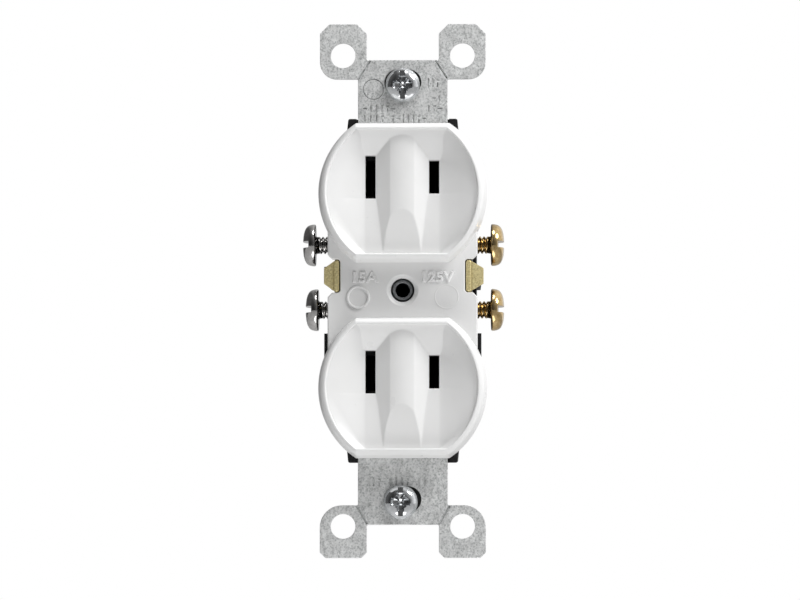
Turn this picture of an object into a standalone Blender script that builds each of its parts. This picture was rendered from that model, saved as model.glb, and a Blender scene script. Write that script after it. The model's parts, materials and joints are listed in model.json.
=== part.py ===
"""Two-slot duplex wall receptacle on a steel mounting strap.

Metres, +Z up, X to the right, and the faces look along -Y. The origin is the middle of the strap's
back plane, halfway between the two mounting slots. Y grows into the wall box.
"""
import math

import bmesh
import bpy

MM = 0.001
GAP = 0.3 * MM  # clearance between neighbouring pieces

# Mounting strap, a 1.2 mm plate whose back is at Y = 0
STRAP_THICKNESS = 1.2 * MM
STRAP_HALF_LENGTH = 53.35 * MM
NECK_HALF_WIDTH = 8.95 * MM
NECK_END = 46.15 * MM
EAR_FOOT = 42.3 * MM
EAR_OUTER = 16.55 * MM
EAR_INNER = 7.2 * MM
EAR_CHAMFER = {1: 1.9 * MM, -1: 1.1 * MM}  # top ears, bottom ears
EAR_SHOULDER = {1: 3.4 * MM, -1: 4.4 * MM}
EAR_HOLE_RADIUS = 2.47 * MM
EAR_HOLE_X = 11.92 * MM
EAR_HOLE_Z = 47.05 * MM
SCORE_SIDE = 0.5 * MM
SCORE_INSET = 0.45 * MM  # how far inside the ear's corners the groove runs
BAR_HALF_WIDTH = 3.2 * MM  # the strap between the contacts
BAR_HALF_LENGTH = 29.0 * MM
PAD_RADIUS = 5.5 * MM

# Mounting screws, 6-32, in oblong slots 83.34 mm apart
MOUNT_SLOT_Z = 41.67 * MM
MOUNT_SLOT_HALF_WIDTH = 3.7 * MM
MOUNT_SLOT_RADIUS = 2.6 * MM
MOUNT_SCREW_SAG = 0.55 * MM  # the screws hang at the bottom of their slots
MOUNT_SCREW_X = {"top": 0.0, "bottom": -0.4 * MM}
THREAD_RADIUS = 1.75 * MM
MOUNT_HEAD_RADIUS = 3.4 * MM
MOUNT_HEAD_HEIGHT = 1.9 * MM
MOUNT_SCREW_LENGTH = 19.0 * MM
MOUNT_DRIVE = {  # each recess in the head: half width, half height, depth
    "slot": (0.5 * MM, 4.0 * MM, 0.8 * MM),
    "cross": (1.8 * MM, 0.45 * MM, 1.3 * MM),
}
WASHER_HALF_WIDTH = 4.8 * MM
WASHER_HALF_HEIGHT = 3.8 * MM
WASHER_FRONT = 2.6 * MM
WASHER_THICKNESS = 0.8 * MM
WASHER_CLIP = 1.2 * MM

# Cover: two faces and the plate between them
FACE_PITCH = 38.9 * MM
FACE_RADIUS = 16.85 * MM
FACE_HALF_HEIGHT = 14.05 * MM
FACE_FRONT = -7.5 * MM
FACE_EDGE = 0.7 * MM
PLATE_FRONT = -2.8 * MM
COVER_BACK = -(STRAP_THICKNESS + GAP)
PLATE_HALF_WIDTH = 14.95 * MM
NOTCH_HALF_WIDTH = 12.2 * MM
NOTCH_Z = (-0.7 * MM, 6.4 * MM)
NOTCH_SLANT = 0.9 * MM
PLATE_HOLE_RADIUS = 3.15 * MM

# Recess in each face, depths measured back from the face's front
RECESS_RADIUS = 15.05 * MM
RECESS_HALF_HEIGHT = 12.35 * MM
RECESS_DEPTH = 0.9 * MM
FUNNEL_DEPTH = 3.0 * MM
RAMP_DEPTH = 2.3 * MM
RIDGE_HALF_WIDTH = 2.4 * MM
RAMP_TOP = -3.4 * MM
LEDGE = 0.2 * MM  # flat step between the recess's wall and the funnels

# Blade slots, neutral on the left
SLOT_X = 6.35 * MM
SLOT_RAISE = 3.05 * MM
SLOT_WIDTH = 1.93 * MM
SLOT_HEIGHT = {-1: 8.6 * MM, 1: 6.66 * MM}

# Black housing behind the strap
BODY_FRONT = -STRAP_THICKNESS
BODY_BACK = 22.0 * MM
BODY_EDGE = 0.8 * MM
BODY_OUTLINE = (
    (15.7 * MM, 24.2 * MM),
    (11.2 * MM, 31.4 * MM),
    (10.9 * MM, 34.4 * MM),
)
CHANNEL_HALF_WIDTH = NECK_HALF_WIDTH + GAP
CAVITY_BACK = 13.3 * MM
LEAF_ROOM_X = (4.0 * MM, 9.1 * MM)
ROOM_MARGIN = 0.5 * MM

# Terminals: each side has two, centred above the middle of the outlet
TERMINAL_CENTRE = 3.15 * MM
TERMINAL_PITCH = 13.0 * MM
TERMINAL_Y = 7.6 * MM
RECESS_HALF_LENGTH = 11.7 * MM
RECESS_WALL_X = 12.5 * MM
RECESS_BACK = 15.0 * MM
RECESS_FLOOR_X = 14.2 * MM  # the housing's side behind the recess
DIVIDER_HALF_WIDTH = 1.65 * MM
STRIP_X = (12.8 * MM, 13.6 * MM)
TERMINAL_HEAD_RADIUS = 4.2 * MM
TERMINAL_HEAD_HEIGHT = 2.6 * MM
TERMINAL_SHANK = 6.4 * MM
TERMINAL_BORE_X = 6.9 * MM  # where each screw's bore ends
TERMINAL_SLOT_DEPTH = 1.1 * MM
TERMINAL_SLOT_HALF_WIDTH = 0.7 * MM
TERMINAL_GAP = {  # from the brass strip to the underside of the head
    "neutral_screw_upper": 4.1 * MM,
    "neutral_screw_lower": 3.55 * MM,
    "hot_screw_upper": 3.85 * MM,
    "hot_screw_lower": 3.85 * MM,
}

# Contact strips and their spring leaves
SHEET = 0.8 * MM
STRIP_Y = (2.4 * MM, 13.0 * MM)
TAB_Z = (-0.28 * MM, 6.0 * MM)
TAB_FRONT = -2.6 * MM
TAB_ROOT = 4.0 * MM
FIN_X = 15.7 * MM
FIN_SLANT = 1.6 * MM
LEAF_HALF_HEIGHT = 3.1 * MM
ARM_HALF_HEIGHT = 1.5 * MM
STRIP_REACH = 1.6 * MM  # how far the strip runs past the middle of the leaves
LEAF_SIDE = (  # one leaf seen from above: offset from the slot's middle, and depth
    (1.5 * MM, 2.0 * MM),
    (0.6 * MM, 4.6 * MM),
    (1.35 * MM, 8.0 * MM),
    (1.35 * MM, 12.6 * MM),
)

# Push-in wire clamps
CLAMP_OFFSET = 13.4 * MM  # from the terminals' centre
CLAMP_HINGE = (9.7 * MM, 12.1 * MM)
CLAMP_HALF_WIDTH = 1.5 * MM
WIRE_X = 11.3 * MM
WIRE_HOLE_RADIUS = 1.2 * MM
RELEASE_X = (9.15 * MM, 9.8 * MM)
RELEASE_HALF_HEIGHT = 1.3 * MM
CLAMP_THICKNESS = 0.4 * MM
CLAMP_LINE = (  # the bent leaf seen from above, measured from its hinge
    (1.2 * MM, 0.35 * MM),
    (0.0, 0.0),
    (2.5 * MM, -5.3 * MM),
    (2.2 * MM, -6.2 * MM),
)

# Screws that hold body, strap and cover together
ASSEMBLY_Z = 30.6 * MM
ASSEMBLY_RADIUS = 1.3 * MM
ASSEMBLY_TIP = -3.7 * MM
ASSEMBLY_SEAT = 17.0 * MM
ASSEMBLY_SEAT_RADIUS = 3.1 * MM
ASSEMBLY_HEAD_RADIUS = 2.5 * MM
ASSEMBLY_HEAD_HEIGHT = 1.8 * MM

# Threaded bushing in the middle of the strap
BUSHING_RADIUS = 2.2 * MM
BUSHING_BORE = 1.45 * MM
BUSHING_FLANGE = 3.3 * MM
BUSHING_FRONT = -2.3 * MM
BUSHING_BACK = 7.0 * MM
FLANGE_THICKNESS = 1.0 * MM
PLATE_SCREW_REACH = 18.0 * MM  # how far the wall plate's screw may run in

SPIN = {  # turns an object's own +Z to the named direction
    "+X": (0.0, math.pi / 2, 0.0),
    "-X": (0.0, -math.pi / 2, 0.0),
    "+Y": (-math.pi / 2, 0.0, 0.0),
    "-Y": (math.pi / 2, 0.0, 0.0),
}
PLANE = {  # turns a flat outline's own XY plane to stand across the named axis
    "Y": (math.pi / 2, 0.0, 0.0),
    "Z": (0.0, 0.0, 0.0),
}


def new_collection(name):
    collection = bpy.data.collections.new(name)
    bpy.context.scene.collection.children.link(collection)
    return collection


def new_material(name, colour, roughness, metallic=0.0):
    material = bpy.data.materials.new(name)
    material.use_nodes = True
    shader = material.node_tree.nodes["Principled BSDF"]
    shader.inputs["Base Color"].default_value = (*colour, 1.0)
    shader.inputs["Roughness"].default_value = roughness
    shader.inputs["Metallic"].default_value = metallic
    return material


def new_object(name, bm, location=(0, 0, 0), rotation=(0, 0, 0)):
    mesh = bpy.data.meshes.new(name)
    bm.to_mesh(mesh)
    bm.free()
    obj = bpy.data.objects.new(name, mesh)
    obj.location = location
    obj.rotation_euler = rotation
    parts.objects.link(obj)
    return obj


def box(name, low, high):
    """A box between two corners."""
    bm = bmesh.new()
    bmesh.ops.create_cube(bm, size=1.0)
    size = [b - a for a, b in zip(low, high)]
    bmesh.ops.scale(bm, vec=size, verts=bm.verts)
    return new_object(name, bm, [(a + b) / 2 for a, b in zip(low, high)])


def rod(name, direction, location, radius, length, segments=24):
    """A cylinder that starts at a point and runs in one direction."""
    bm = bmesh.new()
    bmesh.ops.create_cone(
        bm, cap_ends=True, segments=segments, radius1=radius, radius2=radius, depth=length
    )
    bmesh.ops.translate(bm, vec=(0, 0, length / 2), verts=bm.verts)
    return new_object(name, bm, location, SPIN[direction])


def turned(name, profile, direction, location, closed=False, steps=24):
    """A body of revolution. The profile's (radius, height) points run down its outer side."""
    bm = bmesh.new()
    verts = [bm.verts.new((radius, 0, height)) for radius, height in profile]
    ends = verts[1:] + verts[:1] if closed else verts[1:]
    for start, end in zip(verts, ends):
        bm.edges.new((start, end))
    obj = new_object(name, bm, location, SPIN[direction])
    screw = obj.modifiers.new("turn", "SCREW")
    screw.steps = steps
    screw.render_steps = steps
    screw.use_merge_vertices = True
    screw.merge_threshold = 0.01 * MM
    return obj


def sheet(name, axis, outline, low, high):
    """A flat piece across an axis: one outline, extruded from low to high."""
    bm = bmesh.new()
    face = bm.faces.new([bm.verts.new((u, v, (low - high) / 2)) for u, v in outline])
    grown = bmesh.ops.extrude_face_region(bm, geom=[face])["geom"]
    lifted = [item for item in grown if isinstance(item, bmesh.types.BMVert)]
    bmesh.ops.translate(bm, vec=(0, 0, high - low), verts=lifted)
    bmesh.ops.recalc_face_normals(bm, faces=bm.faces)
    location = [0.0, 0.0, 0.0]
    location["XYZ".index(axis)] = (low + high) / 2
    return new_object(name, bm, location, PLANE[axis])


def hull(name, points):
    """The smallest convex solid around some points."""
    bm = bmesh.new()
    verts = [bm.verts.new(point) for point in points]
    result = bmesh.ops.convex_hull(bm, input=verts)
    left_over = result["geom_interior"] + result["geom_unused"]
    spare = {item for item in left_over if isinstance(item, bmesh.types.BMVert)}
    bmesh.ops.delete(bm, geom=list(spare), context="VERTS")
    bmesh.ops.recalc_face_normals(bm, faces=bm.faces)
    return new_object(name, bm)


def combine(target, tool, operation):
    parts.objects.unlink(tool)
    cutters.objects.link(tool)
    tool.hide_render = True
    tool.display_type = "WIRE"
    boolean = target.modifiers.new(tool.name, "BOOLEAN")
    boolean.operation = operation
    boolean.solver = "EXACT"
    boolean.object = tool


def cut(target, tool):
    combine(target, tool, "DIFFERENCE")


def fuse(target, tool):
    combine(target, tool, "UNION")


def finish(obj, material):
    obj.data.materials.append(material)


def chamfer_end(obj, width, end):
    """Chamfers the edge around a prism's cap: its own +Z cap when end is 1, -Z when end is -1."""
    bm = bmesh.new()
    bm.from_mesh(obj.data)
    cap = max(bm.faces, key=lambda face: end * face.calc_center_median().z)
    bmesh.ops.translate(bm, vec=(0, 0, -end * width), verts=list(cap.verts))
    bmesh.ops.inset_region(bm, faces=[cap], thickness=width, depth=width, use_even_offset=True)
    bm.to_mesh(obj.data)
    bm.free()


def arc(centre, radius, start, end, steps):
    """Points on an arc, both ends included, angles in degrees."""
    points = []
    for step in range(steps + 1):
        angle = math.radians(start + (end - start) * step / steps)
        points.append((centre[0] + radius * math.cos(angle), centre[1] + radius * math.sin(angle)))
    return points


def circle(centre, radius, steps=24):
    return arc(centre, radius, 0, 360, steps)[:-1]


def oblong(centre, half_width, radius):
    reach = half_width - radius
    right = arc((centre[0] + reach, centre[1]), radius, -90, 90, 10)
    left = arc((centre[0] - reach, centre[1]), radius, 90, 270, 10)
    return right + left


def d_outline(radius, half_height, centre_z, steps=14):
    """A circle with its top and bottom cut flat."""
    corner = math.degrees(math.asin(half_height / radius))
    right = arc((0, centre_z), radius, -corner, corner, steps)
    left = arc((0, centre_z), radius, 180 - corner, 180 + corner, steps)
    return right + left


def strap_corner(side):
    """The strap's outline for x > 0 on one half: the top when side is 1, the bottom when -1."""
    chamfer = EAR_CHAMFER[side]
    shoulder = EAR_SHOULDER[side]
    pad_angle = math.degrees(math.acos(BAR_HALF_WIDTH / PAD_RADIUS))
    points = arc((0, 0), PAD_RADIUS, 0, pad_angle, 4)[1:]
    points += [
        (BAR_HALF_WIDTH, BAR_HALF_LENGTH),
        (NECK_HALF_WIDTH, BAR_HALF_LENGTH),
        (NECK_HALF_WIDTH, EAR_FOOT),
    ]
    points += arc((EAR_OUTER - shoulder, EAR_FOOT + shoulder), shoulder, -90, 0, 6)
    points += [
        (EAR_OUTER, STRAP_HALF_LENGTH - chamfer),
        (EAR_OUTER - chamfer, STRAP_HALF_LENGTH),
        (EAR_INNER + chamfer, STRAP_HALF_LENGTH),
        (EAR_INNER, STRAP_HALF_LENGTH - chamfer),
        (EAR_INNER, NECK_END),
    ]
    return [(x, side * z) for x, z in points]


def make_mounting_strap():
    top = strap_corner(1)
    bottom = strap_corner(-1)
    outline = top + [(-x, z) for x, z in reversed(top)]
    outline += [(-x, z) for x, z in bottom] + list(reversed(bottom))
    strap = sheet("mounting_strap", "Y", outline, -STRAP_THICKNESS, 0)
    before = -STRAP_THICKNESS - MM
    through = STRAP_THICKNESS + 2 * MM
    cut(strap, rod("bushing_hole", "+Y", (0, before, 0), BUSHING_RADIUS + GAP, through))
    for side in (1, -1):
        slot = oblong((0, side * MOUNT_SLOT_Z), MOUNT_SLOT_HALF_WIDTH, MOUNT_SLOT_RADIUS)
        cut(strap, sheet(f"mount_slot_{side}", "Y", slot, before, before + through))
        hole = (0, before, side * ASSEMBLY_Z)
        cut(strap, rod(f"strap_screw_hole_{side}", "+Y", hole, ASSEMBLY_RADIUS + GAP, through, 16))
        for hand in (1, -1):
            ear = (hand * EAR_HOLE_X, before, side * EAR_HOLE_Z)
            cut(strap, rod(f"ear_hole_{hand}_{side}", "+Y", ear, EAR_HOLE_RADIUS, through))
            cut(strap, score_cutter(hand, side))
    finish(strap, galvanised)


def score_cutter(hand, side):
    """The V groove that lets one ear snap off: a square bar set on edge in the strap's front."""
    run = (NECK_HALF_WIDTH - EAR_INNER, NECK_END - EAR_FOOT)
    bm = bmesh.new()
    bmesh.ops.create_cube(bm, size=1.0)
    bmesh.ops.scale(bm, vec=(SCORE_SIDE, SCORE_SIDE, math.hypot(*run) + 1.0 * MM), verts=bm.verts)
    cutter = new_object(f"score_{hand}_{side}", bm)
    cutter.rotation_mode = "ZYX"
    lean = -hand * side * math.atan2(run[0], run[1])
    cutter.rotation_euler = (0.0, lean, math.radians(45))
    middle_x = (EAR_INNER + NECK_HALF_WIDTH) / 2 - SCORE_INSET
    middle_z = (NECK_END + EAR_FOOT) / 2
    cutter.location = (hand * middle_x, -STRAP_THICKNESS, side * middle_z)
    return cutter


def make_face_cover():
    """Plate, two face bosses, then the recesses, slots and screw holes cut out of them."""
    low, high = NOTCH_Z
    edge = [
        (PLATE_HALF_WIDTH, -FACE_PITCH / 2),
        (PLATE_HALF_WIDTH, low - NOTCH_SLANT),
        (PLATE_HALF_WIDTH - NOTCH_SLANT, low),
        (NOTCH_HALF_WIDTH, low),
        (NOTCH_HALF_WIDTH, high),
        (PLATE_HALF_WIDTH - NOTCH_SLANT, high),
        (PLATE_HALF_WIDTH, high + NOTCH_SLANT),
        (PLATE_HALF_WIDTH, FACE_PITCH / 2),
    ]
    outline = edge + [(-x, z) for x, z in reversed(edge)]
    cover = sheet("face_cover", "Y", outline, PLATE_FRONT, COVER_BACK)
    cut(cover, rod("plate_hole", "+Y", (0, PLATE_FRONT - MM, 0), PLATE_HOLE_RADIUS, 4 * MM))
    for side in (1, -1):
        centre = side * FACE_PITCH / 2
        outer = d_outline(FACE_RADIUS, FACE_HALF_HEIGHT, centre)
        boss = sheet(f"boss_{side}", "Y", outer, FACE_FRONT, COVER_BACK)
        chamfer_end(boss, FACE_EDGE, 1)
        fuse(cover, boss)
        recess = d_outline(RECESS_RADIUS, RECESS_HALF_HEIGHT, centre)
        cut(cover, sheet(f"recess_{side}", "Y", recess, FACE_FRONT - MM, FACE_FRONT + RECESS_DEPTH))
        cut(cover, ramp_cutter(side, centre))
        for hand in (-1, 1):
            cut(cover, funnel_cutter(hand, side, centre))
            cut(cover, slot_cutter(hand, side, centre))
        hole = (0, ASSEMBLY_TIP - GAP, side * ASSEMBLY_Z)
        cut(cover, rod(f"cover_screw_hole_{side}", "+Y", hole, ASSEMBLY_RADIUS + GAP, 4 * MM, 16))
    finish(cover, white_plastic)


def ramp_half_width():
    """Where the ridge's flank is as deep as the lower edge of the ramp."""
    flank = (FUNNEL_DEPTH - RECESS_DEPTH) / (SLOT_X - SLOT_WIDTH / 2 - RIDGE_HALF_WIDTH)
    return RIDGE_HALF_WIDTH + (RAMP_DEPTH - RECESS_DEPTH) / flank


def ramp_cutter(side, centre):
    """The wedge that slopes the lower end of the middle ridge away."""
    half = ramp_half_width()
    bottom = centre - RECESS_HALF_HEIGHT + LEDGE
    above = FACE_FRONT + RECESS_DEPTH / 2
    start = FACE_FRONT + RECESS_DEPTH
    points = []
    for x in (-half, half):
        points.append((x, above, centre + RAMP_TOP))
        points.append((x, start, centre + RAMP_TOP))
        points.append((x, above, bottom))
        points.append((x, FACE_FRONT + RAMP_DEPTH, bottom))
    return hull(f"ramp_{side}", points)


def funnel_cutter(hand, side, centre):
    """The funnel that guides a blade into one slot, from the recess's edge down to the slot."""
    radius = RECESS_RADIUS - LEDGE
    half_height = RECESS_HALF_HEIGHT - LEDGE
    corner = math.degrees(math.asin(half_height / radius))
    rim = arc((0, 0), radius, -corner, corner, 8)
    rim += [(RIDGE_HALF_WIDTH, half_height), (RIDGE_HALF_WIDTH, -half_height)]
    points = []
    for depth in (RECESS_DEPTH / 2, RECESS_DEPTH):
        points += [(hand * x, FACE_FRONT + depth, centre + z) for x, z in rim]
    for x in (radius * math.cos(math.radians(corner)), ramp_half_width()):
        points.append((hand * x, FACE_FRONT + RAMP_DEPTH, centre - half_height))
    for x in (SLOT_X - SLOT_WIDTH / 2, SLOT_X + SLOT_WIDTH / 2):
        for z in (SLOT_RAISE - SLOT_HEIGHT[hand] / 2, SLOT_RAISE + SLOT_HEIGHT[hand] / 2):
            points.append((hand * x, FACE_FRONT + FUNNEL_DEPTH, centre + z))
    return hull(f"funnel_{hand}_{side}", points)


def slot_cutter(hand, side, centre):
    middle = centre + SLOT_RAISE
    low = (hand * SLOT_X - SLOT_WIDTH / 2, FACE_FRONT, middle - SLOT_HEIGHT[hand] / 2)
    high = (hand * SLOT_X + SLOT_WIDTH / 2, MM, middle + SLOT_HEIGHT[hand] / 2)
    return box(f"slot_{hand}_{side}", low, high)


def terminal_z(side):
    return TERMINAL_CENTRE + side * TERMINAL_PITCH / 2


def leaf_z(side):
    return side * FACE_PITCH / 2 + SLOT_RAISE


def clamp_z(side):
    return TERMINAL_CENTRE + side * CLAMP_OFFSET


def span(hand, near, far):
    """The x range between two distances from the middle on one hand."""
    return sorted((hand * near, hand * far))


def side_box(name, hand, xs, ys, zs):
    """A box given by its distances from the middle plane, its depths and its heights."""
    x_low, x_high = span(hand, *xs)
    z_low, z_high = sorted(zs)
    return box(name, (x_low, ys[0], z_low), (x_high, ys[1], z_high))


def make_back_body():
    quarter = list(BODY_OUTLINE)
    outline = quarter + [(-x, z) for x, z in reversed(quarter)]
    outline += [(-x, -z) for x, z in quarter] + [(x, -z) for x, z in reversed(quarter)]
    body = sheet("back_body", "Y", outline, BODY_FRONT, BODY_BACK)
    chamfer_end(body, BODY_EDGE, -1)
    before = BODY_FRONT - MM
    reach = BODY_OUTLINE[-1][1] + MM
    channel = box(
        "strap_channel", (-CHANNEL_HALF_WIDTH, before, -reach), (CHANNEL_HALF_WIDTH, GAP, reach)
    )
    cut(body, channel)
    for hand in (-1, 1):
        for side in (-1, 1):
            cut_contact_space(body, hand, side)
            cut_wire_ways(body, hand, side)
        tab_slot = side_box(
            f"tab_slot_{hand}",
            hand,
            (RECESS_WALL_X, STRIP_X[1] + GAP),
            (before, TAB_ROOT + GAP),
            (TERMINAL_CENTRE - 4 * MM, TERMINAL_CENTRE + 4 * MM),
        )
        cut(body, tab_slot)
    for side in (-1, 1):
        start = (0, BODY_FRONT, side * ASSEMBLY_Z)
        through = BODY_BACK - BODY_FRONT + MM
        cut(body, rod(f"body_screw_hole_{side}", "+Y", start, ASSEMBLY_RADIUS + GAP, through, 16))
        seat = (0, ASSEMBLY_SEAT, side * ASSEMBLY_Z)
        mouth = BODY_BACK - ASSEMBLY_SEAT + MM
        cut(body, rod(f"body_screw_seat_{side}", "+Y", seat, ASSEMBLY_SEAT_RADIUS, mouth))
    start = (0, before, 0)
    flange_room = FLANGE_THICKNESS + 2 * GAP - before
    cut(body, rod("bushing_bore", "+Y", start, BUSHING_RADIUS + GAP, BUSHING_BACK + GAP - before))
    cut(body, rod("flange_seat", "+Y", start, BUSHING_FLANGE + GAP, flange_room))
    cut(body, rod("plate_screw_bore", "+Y", (0, 0, 0), THREAD_RADIUS + GAP, PLATE_SCREW_REACH))
    finish(body, black_plastic)


def cut_contact_space(body, hand, side):
    """The hollow behind one blade slot, the terminal recess beside it and the screw's bore."""
    name = f"{hand}_{side}"
    before = BODY_FRONT - MM
    leaf = leaf_z(side)
    recess_end = TERMINAL_CENTRE + side * RECESS_HALF_LENGTH
    leaf_reach = LEAF_HALF_HEIGHT + ROOM_MARGIN
    leaf_z_range = (leaf - leaf_reach, leaf + leaf_reach)
    leaf_y_range = (before, CAVITY_BACK + 0.1 * MM)
    cut(body, side_box(f"leaf_room_{name}", hand, LEAF_ROOM_X, leaf_y_range, leaf_z_range))
    strip_end = leaf + side * (STRIP_REACH + GAP)
    strip_z_range = (recess_end - side * ROOM_MARGIN, strip_end)
    strip_x_range = (LEAF_ROOM_X[1] - 0.1 * MM, STRIP_X[1] + GAP)
    strip_y_range = (before, CAVITY_BACK)
    cut(body, side_box(f"strip_room_{name}", hand, strip_x_range, strip_y_range, strip_z_range))
    recess_z_range = (TERMINAL_CENTRE + side * DIVIDER_HALF_WIDTH, recess_end)
    recess_x_range = (RECESS_WALL_X, BODY_OUTLINE[0][0] + MM)
    recess_y_range = (before, RECESS_BACK)
    recess = side_box(f"terminal_recess_{name}", hand, recess_x_range, recess_y_range, recess_z_range)
    cut(body, recess)
    floor_x_range = (RECESS_FLOOR_X, recess_x_range[1])
    floor_y_range = (RECESS_BACK - ROOM_MARGIN, BODY_BACK + MM)
    cut(body, side_box(f"recess_floor_{name}", hand, floor_x_range, floor_y_range, recess_z_range))
    mouth = (hand * (RECESS_WALL_X + MM), TERMINAL_Y, terminal_z(side))
    inward = "-X" if hand > 0 else "+X"
    depth = RECESS_WALL_X + MM - TERMINAL_BORE_X
    cut(body, rod(f"terminal_bore_{name}", inward, mouth, THREAD_RADIUS + GAP, depth))


def cut_wire_ways(body, hand, side):
    """The round hole a stripped wire goes into, and the slot that lets it out again."""
    name = f"{hand}_{side}"
    inner_end = CAVITY_BACK - ROOM_MARGIN
    start = (hand * WIRE_X, inner_end, clamp_z(side))
    through = BODY_BACK + MM - inner_end
    cut(body, rod(f"wire_hole_{name}", "+Y", start, WIRE_HOLE_RADIUS, through, 16))
    release = (clamp_z(side) - RELEASE_HALF_HEIGHT, clamp_z(side) + RELEASE_HALF_HEIGHT)
    depth = (inner_end, BODY_BACK + MM)
    cut(body, side_box(f"release_slot_{name}", hand, RELEASE_X, depth, release))


def ribbon(points, thickness):
    """The closed outline of a bent strip of even thickness along a line of (u, v) points."""
    left = []
    right = []
    for index, (u, v) in enumerate(points):
        before = points[max(index - 1, 0)]
        after = points[min(index + 1, len(points) - 1)]
        start = math.atan2(v - before[1], u - before[0])
        end = math.atan2(after[1] - v, after[0] - u)
        if index == 0:
            start = end
        if index == len(points) - 1:
            end = start
        turn = math.remainder(end - start, math.tau)
        across = start + turn / 2 + math.pi / 2
        reach = thickness / 2 / math.cos(turn / 2)
        left.append((u + reach * math.cos(across), v + reach * math.sin(across)))
        right.append((u - reach * math.cos(across), v - reach * math.sin(across)))
    return left + right[::-1]


def leaf_line():
    """One blade's pair of leaves seen from above: lips, pinch, sides and the fold behind."""
    return list(LEAF_SIDE) + [(-x, y) for x, y in reversed(LEAF_SIDE)]


def make_contact(name, hand, material):
    """A brass strip with two terminals, a break-off tab between them and two pairs of leaves."""
    tab_low, tab_high = TAB_Z
    contact = side_box(name, hand, STRIP_X, (TAB_FRONT, TAB_ROOT), TAB_Z)
    fin = [
        (hand * STRIP_X[0], tab_low),
        (hand * STRIP_X[1], tab_low),
        (hand * FIN_X, tab_low + FIN_SLANT),
        (hand * FIN_X, tab_high - FIN_SLANT),
        (hand * STRIP_X[1], tab_high),
        (hand * STRIP_X[0], tab_high),
    ]
    fuse(contact, sheet(name + "_fin", "Y", fin, TAB_FRONT, TAB_FRONT + SHEET))
    for side in (-1, 1):
        part = f"{name}_{side}"
        leaf = leaf_z(side)
        strip_start = TERMINAL_CENTRE + side * (DIVIDER_HALF_WIDTH + 2 * GAP)
        strip_z = (strip_start, leaf + side * STRIP_REACH)
        fuse(contact, side_box(part + "_strip", hand, STRIP_X, STRIP_Y, strip_z))
        arm_z = (leaf - ARM_HALF_HEIGHT, leaf + ARM_HALF_HEIGHT)
        arm_y = (STRIP_Y[1] - SHEET, STRIP_Y[1])
        fuse(contact, side_box(part + "_arm", hand, (SLOT_X, STRIP_X[1]), arm_y, arm_z))
        line = [(hand * SLOT_X + x, y) for x, y in leaf_line()]
        leaf_ends = (leaf - LEAF_HALF_HEIGHT, leaf + LEAF_HALF_HEIGHT)
        fuse(contact, sheet(part + "_leaves", "Z", ribbon(line, SHEET), *leaf_ends))
        hole = (hand * (STRIP_X[1] + MM), TERMINAL_Y, terminal_z(side))
        inward = "-X" if hand > 0 else "+X"
        cut(contact, rod(part + "_thread", inward, hole, THREAD_RADIUS + GAP, 3 * MM))
    finish(contact, material)


def screw_profile(head_radius, head_height, radius, length):
    """Half of a screw with a low domed head, its underside at height 0."""
    dome = arc((0, 0), 1.0, 90, 20, 5)
    points = [(head_radius * u * 1.04, head_height * (0.35 + 0.65 * v)) for u, v in dome]
    points[0] = (0.0, points[0][1])
    points[-1] = (head_radius, points[-1][1])
    points += [(head_radius, 0.0), (radius, 0.0), (radius, 0.4 * MM - length)]
    points += [(radius - 0.4 * MM, -length), (0.0, -length)]
    return points


def make_terminal_screw(name, hand, side, material):
    outward = "+X" if hand > 0 else "-X"
    seat = (hand * (STRIP_X[1] + TERMINAL_GAP[name]), TERMINAL_Y, terminal_z(side))
    head = (TERMINAL_HEAD_RADIUS, TERMINAL_HEAD_HEIGHT)
    screw = turned(name, screw_profile(*head, THREAD_RADIUS, TERMINAL_SHANK), outward, seat)
    top = STRIP_X[1] + TERMINAL_GAP[name] + TERMINAL_HEAD_HEIGHT
    reach = TERMINAL_HEAD_RADIUS + MM
    middle = terminal_z(side)
    slot = side_box(
        name + "_slot",
        hand,
        (top - TERMINAL_SLOT_DEPTH, top + MM),
        (TERMINAL_Y - reach, TERMINAL_Y + reach),
        (middle - TERMINAL_SLOT_HALF_WIDTH, middle + TERMINAL_SLOT_HALF_WIDTH),
    )
    cut(screw, slot)
    finish(screw, material)


def make_mounting_screw(place, side):
    name = f"mounting_screw_{place}"
    x = MOUNT_SCREW_X[place]
    z = side * MOUNT_SLOT_Z - MOUNT_SCREW_SAG
    seat = -STRAP_THICKNESS - GAP
    head = (MOUNT_HEAD_RADIUS, MOUNT_HEAD_HEIGHT)
    screw = turned(name, screw_profile(*head, THREAD_RADIUS, MOUNT_SCREW_LENGTH), "-Y", (x, seat, z))
    top = seat - MOUNT_HEAD_HEIGHT
    for recess, (half_x, half_z, depth) in MOUNT_DRIVE.items():
        low = (x - half_x, top - MM, z - half_z)
        high = (x + half_x, top + depth, z + half_z)
        cut(screw, box(f"{name}_{recess}", low, high))
    finish(screw, zinc)

    wide = WASHER_HALF_WIDTH
    tall = WASHER_HALF_HEIGHT
    corner = [(wide, tall - WASHER_CLIP), (wide - WASHER_CLIP, tall)]
    rim = corner + [(-u, v) for u, v in reversed(corner)]
    rim += [(-u, -v) for u, v in corner] + [(u, -v) for u, v in reversed(corner)]
    outline = [(x + u, z + v) for u, v in rim]
    washer_back = WASHER_FRONT + WASHER_THICKNESS
    washer = sheet(f"retaining_washer_{place}", "Y", outline, WASHER_FRONT, washer_back)
    cut(washer, rod(name + "_hole", "+Y", (x, WASHER_FRONT - MM, z), THREAD_RADIUS + GAP, 3 * MM))
    finish(washer, fibre)


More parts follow.
